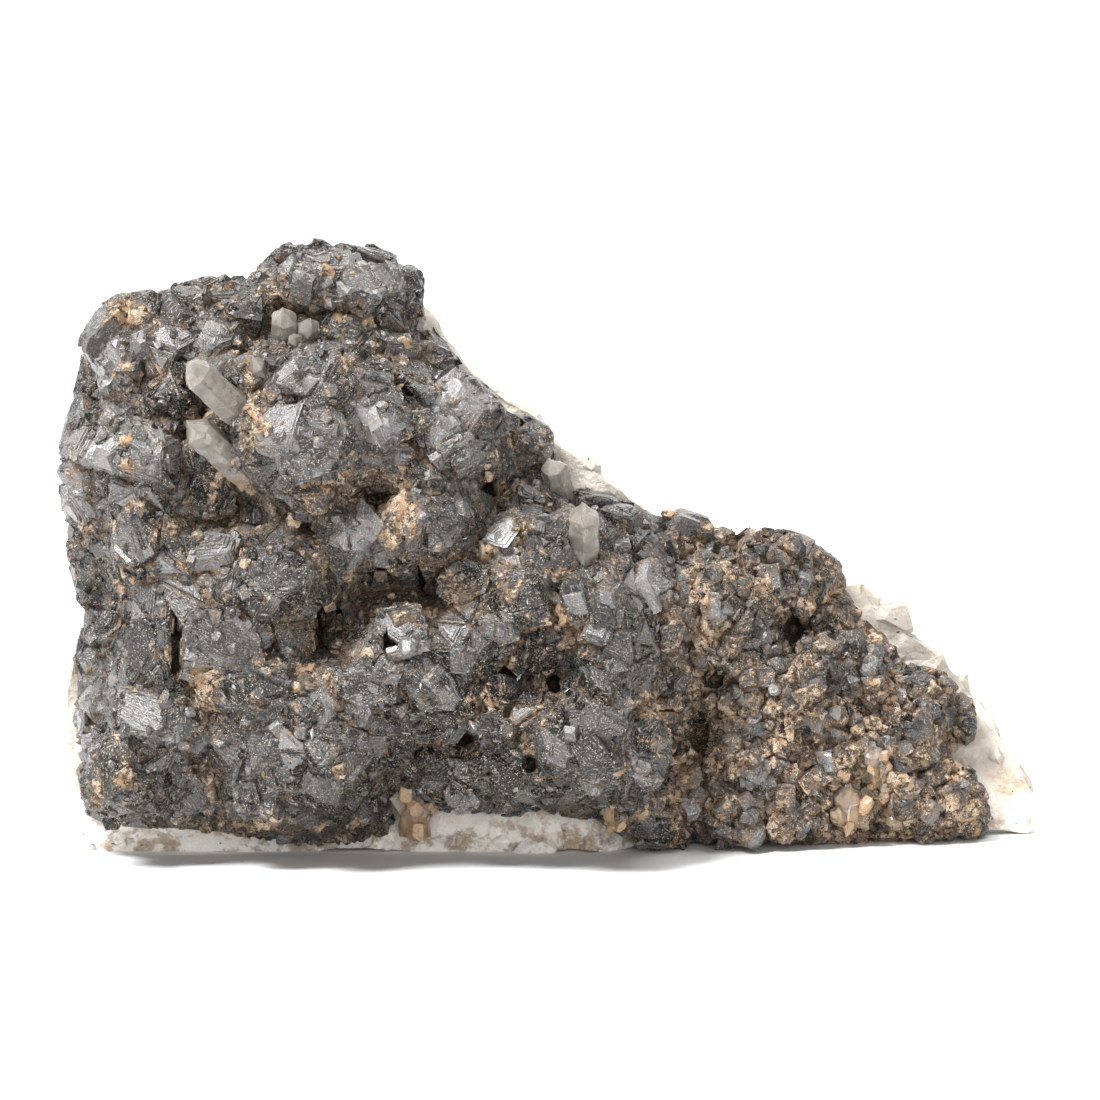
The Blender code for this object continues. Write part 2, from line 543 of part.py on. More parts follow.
def wall_crystals(rng):
    """Crystals on the steep walls round the crust, which face away from its middle."""
    made = []
    ring = spaced_outline(CRUST_OUTLINE, 1.0)
    walked = 0.0
    for before, here, after in zip(ring[-1:] + ring[:-1], ring, ring[1:] + ring[:1]):
        walked += math.dist(before, here)
        if walked < WALL_SPACING or here[1] < WALL_LOWEST:
            continue
        walked = 0.0
        size = rng.uniform(*WALL_SIZE)
        along = Vector(after) - Vector(before)
        outward = Vector((-along.y, along.x)).normalized()
        if is_inside(CRUST_OUTLINE, here[0] + 0.3 * outward.x, here[1] + 0.3 * outward.y):
            outward = -outward
        across = here[0] - 0.5 * size * outward.x
        up = here[1] - 0.5 * size * outward.y
        planes, _ = crystal_planes(size, size * rng.uniform(0.8, 1.3), rng)
        bm = form_between(planes)
        near = float(crust_front(across, up)[0])
        far = float(contact_depth(across, up)[0])
        place = view_point(across, up, far + (near - far) * rng.uniform(*WALL_PLACE))
        facing = RIGHT * outward.x + UP * outward.y - FORWARD * 0.35
        spin = Matrix.Rotation(rng.uniform(0, 1.5), 3, "Z")
        turned = facing.to_track_quat("Z", "Y").to_matrix() @ spin
        bmesh.ops.transform(bm, matrix=Matrix.Translation(place) @ turned.to_4x4(), verts=bm.verts)
        made.append(mesh_object("crystal", bm))
    return made


def sphalerite_crystal(across, up, width, height, turn, pitch, roll, rng):
    """One crystal standing proud of the crust, its broad face turned the way the crust faces there."""
    planes, depth = crystal_planes(width, height, rng)
    bm = form_between(planes)
    leans = [
        max(-STEEPEST_FOLLOWED, min(STEEPEST_FOLLOWED, SLOPE_FOLLOWED * math.atan(slope)))
        for slope in crust_slope(across, up)
    ]
    turned = turned_from_view(leans[0] + math.radians(turn), leans[1] + math.radians(pitch), roll)
    front = float(crust_front(across, up)[0])
    proud = min(CRYSTAL_PROUD * min(width, height), MOST_PROUD)
    middle = view_point(across, up, front + 0.5 * depth - proud)
    bmesh.ops.transform(bm, matrix=Matrix.Translation(middle) @ turned, verts=bm.verts)
    return mesh_object("crystal", bm)


def pit_cutters():
    """Tapered cutters that leave narrow pits in the crust."""
    made = []
    for across, up, half_width, half_height, depth in PITS:
        ground = float(crust_front(across, up)[0])
        bm = bmesh.new()
        rings = []
        levels = ((ground - PIT_ABOVE, PIT_MOUTH), (ground, 1.0), (ground + depth, PIT_FLOOR))
        for level, share in levels:
            ring = []
            for side in range(PIT_SIDES):
                angle = 2 * math.pi * side / PIT_SIDES + across
                wide = half_width * share * math.cos(angle)
                high = half_height * share * math.sin(angle)
                ring.append(bm.verts.new(view_point(across + wide, up + high, level)))
            rings.append(ring)
        for near, far in zip(rings, rings[1:]):
            for side in range(PIT_SIDES):
                after = (side + 1) % PIT_SIDES
                bm.faces.new((near[side], near[after], far[after], far[side]))
        bm.faces.new(rings[0])
        bm.faces.new(rings[-1])
        bmesh.ops.recalc_face_normals(bm, faces=bm.faces)
        made.append(mesh_object("pit", bm))
    return made


def sown_places(rng):
    """Places for the smaller crystals, clear of the ones that stand out and of the pits."""
    places = []
    taken = [(entry[0], entry[1], 0.42 * (entry[2] + entry[3])) for entry in MAIN_CRYSTALS]
    taken += [(entry[0], entry[1], 0.5 * (entry[2] + entry[3]) + 0.6) for entry in PITS]
    for lower, upper, spacing, sizes in (
        (SOWN_LEFT_END, SOWN_CHANGE, SOWN_SPACING_LEFT, SOWN_SIZE_LEFT),
        (SOWN_CHANGE, SOWN_RIGHT_END, SOWN_SPACING_RIGHT, SOWN_SIZE_RIGHT),
    ):
        for row, up in enumerate(np.arange(SOWN_LOWEST, SOWN_HIGHEST, spacing * ROW_SPACING)):
            for across in np.arange(lower + 0.5 * spacing * (row % 2), upper, spacing):
                shift = rng.uniform(-SOWN_SHIFT, SOWN_SHIFT, 2)
                place = (across + shift[0], up + shift[1])
                size = rng.uniform(*sizes)
                if not is_inside(CRUST_OUTLINE, *place):
                    continue
                if edge_distance(CRUST_OUTLINE, *place)[0] < max(SOWN_MARGIN, 0.5 * size):
                    continue
                if any(math.dist(place, other[:2]) < other[2] + 0.3 * size for other in taken):
                    continue
                if view_point(*place, 0.0).z < CRUST_FOOT + 0.5 * size:
                    continue
                places.append((*place, size))
    return places


def crust_crystals():
    rng = np.random.default_rng(CRYSTAL_SEED)
    made = [sphalerite_crystal(*entry, rng) for entry in MAIN_CRYSTALS]
    for across, up, size in sown_places(rng):
        turn, pitch = rng.uniform(-SOWN_TILT, SOWN_TILT, 2)
        width = size * rng.uniform(0.8, 1.25)
        roll = lump_roll(across, up) + rng.uniform(-SOWN_ROLL, SOWN_ROLL)
        made.append(sphalerite_crystal(across, up, width, size, turn, pitch, roll, rng))
    return made + wall_crystals(rng)


def contact_cutter(name, extra, far):
    """A block that ends at the surface between crust and matrix, moved back by extra."""
    frame = [
        (-COVER_WIDTH, -COVER_HEIGHT), (COVER_WIDTH, -COVER_HEIGHT), (COVER_WIDTH, COVER_HEIGHT),
        (-COVER_WIDTH, COVER_HEIGHT),
    ]

    def face(across, up):
        return contact_depth(across, up) + extra

    def end(across, up):
        return np.full_like(across, far)

    return slab(name, frame, face, end, (CONTACT_STEP, HIDDEN_STEP), CONTACT_SEED)


def quartz_form(ground, base, tip, width, sink, lift, clearance, rng):
    """A six-sided prism with a six-faced point, from its base to its tip."""
    foot = view_point(*base, ground + sink)
    point = view_point(*tip, ground - lift)
    axis = point - foot
    length = axis.length
    planes = [((0.0, 0.0, -1.0), QUARTZ_SINK_LENGTH * length + clearance)]
    for side in range(6):
        angle = math.radians(60.0 * side)
        around = (math.cos(angle), math.sin(angle))
        reach = 0.5 * width * rng.uniform(0.88, 1.06)
        planes.append(((around[0], around[1], 0.0), reach + clearance))
        steep = math.sin(QUARTZ_PYRAMID)
        flat = math.cos(QUARTZ_PYRAMID)
        reach = length * flat * rng.uniform(0.93, 1.0)
        planes.append(((around[0] * steep, around[1] * steep, flat), reach + clearance))
    bm = form_between(planes)
    turned = axis.to_track_quat("Z", "Y").to_matrix().to_4x4()
    bmesh.ops.transform(bm, matrix=Matrix.Translation(foot) @ turned, verts=bm.verts)
    return bm


def quartz_object(name, crystals, clearance):
    """One quartz crystal or a cluster grown together, enlarged all round by the clearance."""
    rng = np.random.default_rng(sum(ord(letter) for letter in name))
    ground = float(crust_front(*crystals[0][0])[0])
    made = [
        mesh_object(name, quartz_form(ground, *crystal, clearance, rng)) for crystal in crystals
    ]
    if len(made) > 1:
        combine(made[0], made[1:], "UNION")
        remove_objects(made[1:])
    return made[0]


def colored(name, color, roughness, transmission=0.0):
    material = bpy.data.materials.new(name)
    material.use_nodes = True
    shader = material.node_tree.nodes["Principled BSDF"]
    shader.inputs["Base Color"].default_value = color
    shader.inputs["Roughness"].default_value = roughness
    shader.inputs["Metallic"].default_value = 0.0
    shader.inputs["Transmission Weight"].default_value = transmission
    return material


def finish_object(target, name, material):
    """Names the object, turns millimetres into metres and gives it its material."""
    target.name = name
    target.data.name = name
    target.data.transform(Matrix.Scale(MM, 4))
    target.data.materials.clear()
    target.data.materials.append(material)
    target.data.shade_flat()


def thin_out(target):
    thinner = target.modifiers.new("thin_out", "DECIMATE")
    thinner.ratio = SHARE_OF_CRUST_KEPT
    bpy.context.view_layer.update()
    applied(target)


def build_crust(pockets):
    def rear(across, up):
        return contact_depth(across, up) + CRUST_BLOCK_REAR

    steps = (CRUST_STEP, HIDDEN_STEP)
    crust = slab("crust", CRUST_OUTLINE, crust_front, rear, steps, CRUST_SEED)
    thin_out(crust)
    crystals = crust_crystals()
    combine(crust, crystals, "UNION")
    remove_objects(crystals)
    cutters = [contact_cutter("behind", 0.0, COVER_DEPTH), *pit_cutters()]
    combine(crust, cutters + pockets, "DIFFERENCE")
    remove_objects(cutters)
    cut_foot(crust, CRUST_FOOT)
    keep_main_body(crust)
    return crust


def build_matrix(pockets):
    def front(across, up):
        return np.full_like(across, MATRIX_BLOCK_FRONT)

    steps = (HIDDEN_STEP, MATRIX_STEP)
    matrix = slab("matrix", MATRIX_OUTLINE, front, matrix_rear, steps, MATRIX_SEED)
    before = contact_cutter("before", GAP, -COVER_DEPTH)
    combine(matrix, [before, *pockets], "DIFFERENCE")
    remove_objects([before])
    cut_foot(matrix, MATRIX_FOOT)
    keep_main_body(matrix)
    return matrix


def main():
    clear_scene()
    crystals = {name: quartz_object(name, parts, 0.0) for name, parts in QUARTZ}
    pockets = [quartz_object(name, parts, GAP) for name, parts in QUARTZ]
    crust = build_crust(pockets)
    matrix = build_matrix(pockets)
    remove_objects(pockets)
    finish_object(crust, "sphalerite_crust", colored("sphalerite", CRUST_COLOR, 0.38))
    finish_object(matrix, "matrix", colored("quartz_matrix", MATRIX_COLOR, 0.72))
    cloudy = colored("cloudy_quartz", QUARTZ_COLOR, 0.3, 0.35)
    for name, crystal in crystals.items():
        finish_object(crystal, name, cloudy)


main()
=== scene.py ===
"""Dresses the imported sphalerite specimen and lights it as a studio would.

The solids' crust, matrix and quartz crystals are covered by finer meshes of the same form: a skin of
broken crystal faces, terraces on the large faces, and crystals of falling size in between. Geometry is
worked out in millimetres and turned into metres when a mesh is made.
"""

import itertools
import math

import bmesh
import bpy
import numpy as np
from mathutils import Matrix, Vector, kdtree, noise
from mathutils.bvhtree import BVHTree
from mathutils.geometry import convex_hull_2d


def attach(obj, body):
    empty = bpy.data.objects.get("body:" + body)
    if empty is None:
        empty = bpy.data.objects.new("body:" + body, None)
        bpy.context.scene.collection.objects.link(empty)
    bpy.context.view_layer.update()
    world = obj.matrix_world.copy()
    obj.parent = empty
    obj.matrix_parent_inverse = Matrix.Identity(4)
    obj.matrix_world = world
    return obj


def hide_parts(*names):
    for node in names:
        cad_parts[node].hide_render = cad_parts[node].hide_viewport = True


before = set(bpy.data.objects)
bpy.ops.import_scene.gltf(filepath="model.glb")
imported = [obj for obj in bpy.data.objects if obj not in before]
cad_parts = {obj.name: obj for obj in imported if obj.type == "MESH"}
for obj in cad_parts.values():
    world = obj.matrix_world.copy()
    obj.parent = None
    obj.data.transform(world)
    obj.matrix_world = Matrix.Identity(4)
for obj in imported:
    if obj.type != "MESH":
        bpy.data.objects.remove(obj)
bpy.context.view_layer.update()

MM = 0.001
BODY = "root"

# The view that the solids are laid out in, in millimetres
VIEW_DISTANCE = 458.0
VIEW_RISE = math.radians(4.5)
VIEW_MIDDLE = np.array([-0.87, 1.23, 30.0])
RIGHT = np.array([1.0, 0.0, 0.0])
FORWARD = np.array([0.0, math.cos(VIEW_RISE), -math.sin(VIEW_RISE)])
UP = np.array([0.0, math.sin(VIEW_RISE), math.cos(VIEW_RISE)])
LENS = 150
SENSOR = 36

# Where the coarse left block ends and the finer right lobe starts, across
LOBE_START = 8.0
LOBE_FULL = 14.0

# The crust's pits, which stay open and whose skin is painted black as shade: across, up, half width, half
# height
PITS = [
    (-17.6, 5.2, 2.0, 1.4), (-14.0, 16.0, 1.0, 1.0), (-6.0, 6.0, 1.1, 1.1), (-12.8, -3.0, 1.0, 1.8),
    (-17.0, -3.0, 1.0, 1.4), (-16.0, -9.2, 0.9, 1.4), (-4.4, -12.6, 0.9, 1.2), (0.4, -13.4, 1.1, 1.0),
    (-8.5, -19.2, 1.1, 1.1), (-12.6, -20.3, 1.3, 1.1), (-2.0, -21.4, 1.0, 1.2), (8.7, 3.4, 0.9, 0.9),
    (24.3, -8.0, 1.0, 1.5), (16.5, -13.0, 1.0, 1.1), (-37.4, -9.4, 0.9, 5.6), (-23.0, -8.4, 0.8, 2.7),
    (-20.7, -6.5, 0.8, 0.9), (15.3, -18.2, 1.3, 1.8),
]

# Ochre stain seen on the crust: across, up, half width, half height, strength
STAINS = [
    (-42.5, 23.8, 2.0, 1.5, 0.9), (-40.0, 22.0, 1.0, 0.8, 0.6), (-42.0, 8.0, 1.4, 1.2, 0.8),
    (-41.5, 4.3, 1.0, 1.0, 0.9), (-38.2, 6.0, 1.2, 1.4, 0.6), (-38.0, 2.3, 1.6, 1.5, 0.9),
    (-46.0, 1.8, 1.4, 2.2, 0.6), (-29.5, 12.5, 2.0, 3.4, 0.8), (-20.8, 18.8, 1.4, 1.6, 0.6),
    (-20.8, 6.0, 2.2, 2.6, 0.7), (-15.2, 3.8, 2.8, 4.2, 0.85), (-11.8, 6.0, 1.2, 1.4, 0.7),
    (-9.0, -4.2, 1.9, 1.6, 0.9), (-4.2, -4.2, 1.6, 1.6, 0.9), (-11.3, -6.5, 1.2, 1.3, 0.7),
    (-14.2, -6.2, 1.1, 1.0, 0.6), (0.8, -6.8, 1.8, 1.6, 0.8), (0.8, -2.5, 2.2, 1.0, 0.7),
    (-4.5, -10.6, 1.3, 0.8, 0.7), (-34.5, -14.2, 1.2, 3.4, 1.0), (-24.2, -12.8, 1.6, 1.6, 0.8),
    (9.8, -15.5, 1.8, 2.0, 1.0), (10.2, -0.2, 1.6, 1.2, 0.8), (13.2, 1.2, 1.0, 1.0, 0.8),
    (17.6, 1.0, 1.2, 1.0, 0.7), (22.6, 0.3, 1.0, 0.8, 0.6), (-42.5, -22.8, 1.2, 1.6, 0.9),
    (-45.2, -24.8, 1.0, 1.6, 0.9), (-30.0, -27.8, 9.0, 1.3, 0.7), (-20.0, -28.2, 4.0, 1.2, 0.6),
    (33.0, -8.0, 1.6, 1.4, 0.8), (34.0, -13.5, 2.2, 1.6, 0.7), (25.0, -24.5, 5.0, 3.0, 0.42),
    (30.5, -26.5, 4.5, 2.6, 0.55), (36.5, -24.0, 2.6, 3.4, 0.45), (27.0, -14.5, 1.8, 2.0, 0.7),
    (17.0, -16.8, 1.6, 2.4, 0.9), (23.5, -18.8, 1.8, 1.6, 0.6), (12.0, -24.6, 1.6, 2.4, 0.7),
    (7.5, -27.0, 2.0, 1.4, 0.8), (-33.0, 25.6, 1.6, 1.0, 0.6), (-26.0, 24.6, 2.4, 1.2, 0.6),
    (-2.4, 2.2, 1.0, 1.8, 0.6), (6.0, -3.0, 1.6, 3.0, 0.6), (31.0, -20.0, 2.0, 1.4, 0.7),
]

# How strong the stain is at its spots' middles: 1 would leave no gaps in it
RAGGED = 0.78

# Painted highlights and painted shade: spots where faces are painted paler and bluer, as if lit, or darker,
# as if shaded: across, up, half width, half height, change
PAINTED_HIGHLIGHT_AND_SHADE_SPOTS = [
    (-44.0, 19.6, 1.4, 4.0, 0.6), (-34.0, 20.9, 1.3, 1.3, 0.6), (-37.5, 15.2, 2.2, 2.2, -0.15),
    (-40.6, 9.5, 4.2, 2.5, 0.14), (-45.8, 9.5, 1.8, 1.6, 0.5), (-47.0, 5.0, 1.6, 2.2, 0.6),
    (-34.8, 6.8, 2.4, 3.3, -0.12), (-33.0, -0.8, 2.0, 1.8, 0.5), (-33.2, -9.3, 3.3, 2.5, 0.12),
    (-25.2, -9.5, 1.5, 1.1, 0.45), (-39.3, -17.0, 3.9, 2.2, 0.12), (-23.3, 16.8, 1.8, 1.3, 0.3),
    (-15.8, 19.5, 2.4, 1.1, 0.08), (-17.3, 12.8, 1.9, 1.9, 0.45), (-8.8, 14.2, 2.4, 3.0, 0.4),
    (-11.0, 15.5, 1.1, 1.1, 0.5), (-4.0, 5.5, 0.8, 1.1, 0.7), (-20.0, 1.5, 2.6, 2.2, 0.1),
    (-4.6, 0.5, 1.5, 1.6, 0.55), (-14.5, -8.8, 1.6, 2.3, 0.4), (2.2, -18.8, 3.4, 2.8, 0.1),
    (10.8, -4.0, 1.2, 1.1, 0.6), (19.5, -15.6, 1.1, 0.8, 0.9), (28.0, -16.6, 1.0, 1.2, 0.9),
    (28.0, -21.5, 1.3, 1.1, 0.7), (14.4, -26.0, 1.3, 1.1, 0.7), (-17.0, 28.0, 4.0, 2.2, 0.15),
    (-44.6, 15.0, 1.0, 2.2, 0.5), (-22.0, -24.0, 5.0, 2.4, -0.08), (-6.0, -12.0, 6.0, 4.0, -0.1),
    (17.0, -5.5, 1.4, 1.6, 0.45), (22.0, -9.0, 2.0, 1.4, 0.25), (-46.6, -19.0, 1.2, 4.5, 0.5),
    (-5.0, -18.0, 12.0, 7.0, -0.17), (17.5, -21.5, 4.0, 6.5, 0.12), (-21.0, 26.5, 6.0, 3.0, 0.18),
    (-5.5, 10.0, 6.0, 7.0, 0.1), (-21.0, 11.0, 8.0, 8.0, 0.07),
]

# The crust's outline as it is seen (across, up), how far crystals may stand out past it, and what share
# they keep of anything beyond that
OUTLINE = [
    (-24.5, 30.6), (-20.3, 30.0), (-18.0, 29.4), (-15.0, 28.5), (-13.3, 27.5), (-13.2, 25.8),
    (-13.6, 24.6), (-13.0, 22.6), (-12.2, 20.4), (-10.4, 19.5), (-8.8, 17.6), (-7.2, 16.0),
    (-5.5, 14.4), (-4.9, 12.8), (-4.0, 11.6), (-2.6, 12.6), (-0.6, 12.0), (-0.3, 9.0), (-1.6, 7.6),
    (1.0, 5.4), (4.6, 4.6), (9.0, 3.8), (15.5, 2.4), (21.5, 1.7), (25.0, 1.0), (26.6, 0.1),
    (28.0, -1.2), (29.1, -3.4), (29.4, -4.6), (31.8, -7.2), (33.5, -9.0), (35.0, -10.5),
    (36.0, -12.0), (39.4, -12.8), (41.0, -14.6), (42.3, -17.2), (41.2, -19.0), (40.0, -20.5),
    (41.5, -22.2), (43.8, -24.0), (43.8, -27.0), (42.8, -29.2), (40.0, -31.0), (13.0, -31.0),
    (9.0, -29.2), (5.0, -26.6), (1.0, -26.2), (-0.5, -25.6), (-4.0, -26.0), (-7.0, -26.2),
    (-11.0, -25.6), (-15.0, -25.4), (-16.5, -28.0), (-19.0, -29.0), (-22.0, -29.3),
    (-26.0, -29.0), (-33.0, -28.2), (-41.0, -27.5), (-45.0, -27.2), (-46.4, -24.8),
    (-46.8, -21.0), (-47.1, -16.0), (-46.9, -11.0), (-46.5, -8.0), (-46.7, -4.0), (-47.6, -0.6),
    (-48.0, 3.0), (-48.7, 8.0), (-48.6, 10.5), (-47.6, 12.2), (-46.2, 15.0), (-45.4, 17.8),
    (-46.2, 20.4), (-45.4, 22.6), (-44.6, 24.2), (-42.0, 25.2), (-37.4, 26.2), (-33.0, 27.0),
    (-30.0, 27.5), (-28.0, 28.6), (-26.6, 30.2),
]
FREE_OUTSIDE = 0.5
KEPT_OUTSIDE = 0.4

# How near the middle a unit crystal's cube, dodecahedron and tetrahedron faces lie, in each style
FORM_STYLES = [(0.38, 0.60, 0.58), (0.54, 0.42, 0.58), (0.48, 0.64, 0.32), (0.42, 0.52, 0.42)]

# How far the matrix's lower rim is drawn in
FOOT_DRAWN_IN = 1.1

# Share of the corner and edge faces that a crystal lacks
MISSING_FACES = 0.3

# How far up the quartz crystals that look like clusters carry smaller ones
LUMPED_SHARE = {
    "quartz_crystal_bottom_tan": 0.95,
    "quartz_crystal_bottom_brown": 0.9,
    "quartz_crystal_right_lobe_upper": 0.8,
    "quartz_crystal_right_lobe_right": 0.8,
    "quartz_crystal_right_lobe_lower": 0.8,
    "quartz_crystal_below_top_right": 0.7,
}
FLAMED_QUARTZ = "quartz_crystal_bottom_tan"

# Least and greatest crystal size in the left block and in the right lobe
MEDIUM_SIZES = ((1.6, 5.0), (1.2, 2.7))
SMALL_SIZES = ((0.5, 1.6), (0.45, 1.25))
LARGE_FACE = 3.5
MOST_TRIANGLES = 190000

# Places tried at random for each kind of piece, and the most small crystals
OPENNESS_PLACES = 9000
CRYSTAL_PLACES = 24000
SMALL_PLACES = 30000
MOST_SMALL_CRYSTALS = 2200
FLAKE_PLACES = 8600
GRAIN_PLACES = 1500

# Longest edges: of crystals and grains as shares of their size, then of surfaces in millimetres
CRYSTAL_EDGE = 0.62
BIG_CRYSTAL_EDGE = 0.43
GRAIN_EDGE = 0.5
SKIN_EDGE = 1.1
ROCK_EDGE = 1.15
QUARTZ_EDGE = 0.75

# Crystals wider than this have finer edges, and quartz edges are rounded by this
BIG_CRYSTAL = 2.6
QUARTZ_ROUNDING = 0.3

# Least cosine between triangles of one flat face
SAME_FACE = 0.9998

# The crust is hidden where it lies this near to the matrix, and the matrix where this near to the crust
CRUST_HIDDEN = 0.75
MATRIX_HIDDEN = 1.2

# Name, place in metres, size and power of each light, and the light of the room
LIGHTS = [
    ("key_light", (-0.35, -0.35, 0.7), 0.3, 12.6),
    ("fill_light", (0.15, -0.9, 0.1), 0.7, 5.2),
    ("floor_light", (0.05, 0.08, 0.9), 0.8, 6.0),
]
ROOM_LIGHT = 0.24
AIM = (0, 0, 0.03)

# The floor, in metres: its front and back edges, the sweep and wall behind it, and half its width
FLOOR_FRONT = -0.9
FLOOR_BACK = 0.35
SWEEP_RADIUS = 0.25
SWEEP_STEPS = 12
WALL_TOP = 0.9
FLOOR_HALF_WIDTH = 1.1


def seen_at(points):
    """Where points are seen: across and up in the middle plane, and how far they are behind it."""
    from_middle = points - VIEW_MIDDLE
    depth = from_middle @ FORWARD
    reach = 1.0 + depth / VIEW_DISTANCE
    return from_middle @ RIGHT / reach, from_middle @ UP / reach, depth


def smooth_step(start, end, value):
    share = np.clip((value - start) / (end - start), 0.0, 1.0)
    return share * share * (3.0 - 2.0 * share)


def lobe_at(across):
    """0 in the coarse left block and 1 in the right lobe."""
    return smooth_step(LOBE_START, LOBE_FULL, across)


def front_at(points):
    """Where points are seen, their share of the right lobe, and how far they are on the front, up to 1."""
    across, up, depth = seen_at(points)
    lobe = lobe_at(across)
    return across, up, lobe, smooth_step(9.0, 1.0, depth - lobe * 9.0)


def node_arrays(name):
    """A solid's points in millimetres and its triangles."""
    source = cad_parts[name]
    mesh = source.data
    mesh.calc_loop_triangles()
    points = np.empty(len(mesh.vertices) * 3)
    mesh.vertices.foreach_get("co", points)
    world = np.array(source.matrix_world)
    points = points.reshape(-1, 3) @ world[:3, :3].T + world[:3, 3]
    faces = np.empty(len(mesh.loop_triangles) * 3, dtype=np.int32)
    mesh.loop_triangles.foreach_get("vertices", faces)
    points, faces = welded(points / MM, faces.reshape(-1, 3))
    return points, faces


def welded(points, faces):
    """One point where several lie at one place."""
    rounded = np.round(points, 3)
    _, first, index = np.unique(rounded, axis=0, return_index=True, return_inverse=True)
    faces = index.reshape(-1)[faces]
    whole = (faces != np.roll(faces, 1, axis=1)).all(axis=1)
    return points[first], faces[whole]


def face_crosses(points, faces):
    """Each triangle's normal, as long as twice its area."""
    first, second, third = (points[faces[:, corner]] for corner in range(3))
    return np.cross(second - first, third - first)


def face_frames(points, faces):
    """Each triangle's unit normal and area."""
    cross = face_crosses(points, faces)
    length = np.linalg.norm(cross, axis=1)
    return cross / np.maximum(length, 1e-12)[:, None], 0.5 * length


def tree_of(points, faces):
    return BVHTree.FromPolygons(points.tolist(), faces.tolist())


def is_near(tree, places, reach):
    """Which places lie within reach of the surface."""
    return np.array([tree.find_nearest(place, reach)[0] is not None for place in places.tolist()])


def crystal_faces(points, faces, normals, areas):
    """Flat faces made of several triangles: for each triangle its face's number, and each face's area."""
    neighbours = {}
    for index, face in enumerate(faces.tolist()):
        for corner in range(3):
            edge = (face[corner], face[(corner + 1) % 3])
            neighbours.setdefault((min(edge), max(edge)), []).append(index)
    parent = list(range(len(faces)))

    def root_of(index):
        while parent[index] != index:
            parent[index] = parent[parent[index]]
            index = parent[index]
        return index

    for pair in neighbours.values():
        if len(pair) == 2 and normals[pair[0]] @ normals[pair[1]] > SAME_FACE:
            parent[root_of(pair[0])] = root_of(pair[1])
    roots = np.array([root_of(index) for index in range(len(faces))])
    _, number = np.unique(roots, return_inverse=True)
    return number, np.bincount(number, weights=areas)


def random_on_surface(points, faces, areas, count, rng):
    """Random places on a mesh, and the triangle that each lies on."""
    chosen = rng.choice(len(faces), count, p=areas / areas.sum())
    first, second = rng.random((2, count))
    flipped = first + second > 1
    first[flipped] = 1 - first[flipped]
    second[flipped] = 1 - second[flipped]
    corners = points[faces[chosen]]
    places = corners[:, 0] + first[:, None] * (corners[:, 1] - corners[:, 0])
    return places + second[:, None] * (corners[:, 2] - corners[:, 0]), chosen


def thinned(places, rooms):
    """Indexes of places that keep clear of each other by their rooms, in the order given."""
    cell = float(rooms.max())
    grid = {}
    kept = []
    keys = np.floor(places / cell).astype(int).tolist()
    around = list(itertools.product((-1, 0, 1), repeat=3))
    for index, (place, room, key) in enumerate(zip(places.tolist(), rooms.tolist(), keys)):
        cells = (grid.get((key[0] + x, key[1] + y, key[2] + z), ()) for x, y, z in around)
        others = itertools.chain.from_iterable(cells)
        if all(math.dist(place, other) >= 0.5 * (room + other_room) for other, other_room in others):
            grid.setdefault(tuple(key), []).append((place, room))
            kept.append(index)
    return np.array(kept)


def largest_first(places, size, room):
    """Indexes of the places that keep clear of each other, the largest first."""
    index = np.argsort(-size)
    return index[thinned(places[index], room * size[index])]


def directions_around(count):
    """Even directions over a half sphere about +Z."""
    index = np.arange(count) + 0.5
    height = np.sqrt(index / count)
    turn = math.pi * (1 + math.sqrt(5)) * index
    flat = np.sqrt(1 - height**2)
    return np.stack([flat * np.cos(turn), flat * np.sin(turn), height], axis=-1)


def frames_about(normals, rolls):
    """Rotation matrices whose Z is the normal, rolled about it."""
    helper = np.where(np.abs(normals[:, 2:3]) < 0.9, [[0.0, 0.0, 1.0]], [[1.0, 0.0, 0.0]])
    x_axis = np.cross(helper, normals)
    x_axis /= np.linalg.norm(x_axis, axis=1)[:, None]
    y_axis = np.cross(normals, x_axis)
    cos, sin = np.cos(rolls)[:, None], np.sin(rolls)[:, None]
    return np.stack([cos * x_axis + sin * y_axis, cos * y_axis - sin * x_axis, normals], axis=-1)


def openness_of(tree, places, normals, reach=9.0, count=14):
    """How much of the half sphere above each place is free, from 0 to 1."""
    frames = frames_about(normals, np.zeros(len(places)))
    starts = (places + normals * 0.12).tolist()
    free = np.zeros(len(places))
    for direction in directions_around(count):
        rays = (frames @ direction).tolist()
        free += [tree.ray_cast(start, ray, reach)[0] is None for start, ray in zip(starts, rays)]
    return free / count


def point_normals(points, faces):
    """Each point's normal, the sum of its faces' normals by area."""
    cross = face_crosses(points, faces)
    total = np.zeros_like(points)
    for corner in range(3):
        for axis in range(3):
            total[:, axis] += np.bincount(faces[:, corner], cross[:, axis], len(points))
    return total / np.maximum(np.linalg.norm(total, axis=1), 1e-9)[:, None]


def spread(grid, reach):
    """Each cell's sum over the cells up to reach away from it along each axis."""
    for axis in range(3):
        total = grid.copy()
        for step in range(1, reach + 1):
            total += np.roll(grid, step, axis) + np.roll(grid, -step, axis)
        grid = total
    return grid


def hollow_at(points, normals, cell=0.5, reach=2):
    """How far the surfaces near each point stand out in front of it, above 0 in a cleft."""
    index = np.floor(points / cell).astype(int)
    index -= index.min(axis=0) - reach
    shape = index.max(axis=0) + 1 + reach
    flat = np.ravel_multi_index(index.T, shape)
    sums = [
        spread(np.bincount(flat, weight, shape.prod()).reshape(shape), reach).ravel()[flat]
        for weight in (None, points[:, 0], points[:, 1], points[:, 2])
    ]
    middles = np.stack(sums[1:], axis=-1) / sums[0][:, None]
    return ((middles - points) * normals).sum(axis=1)


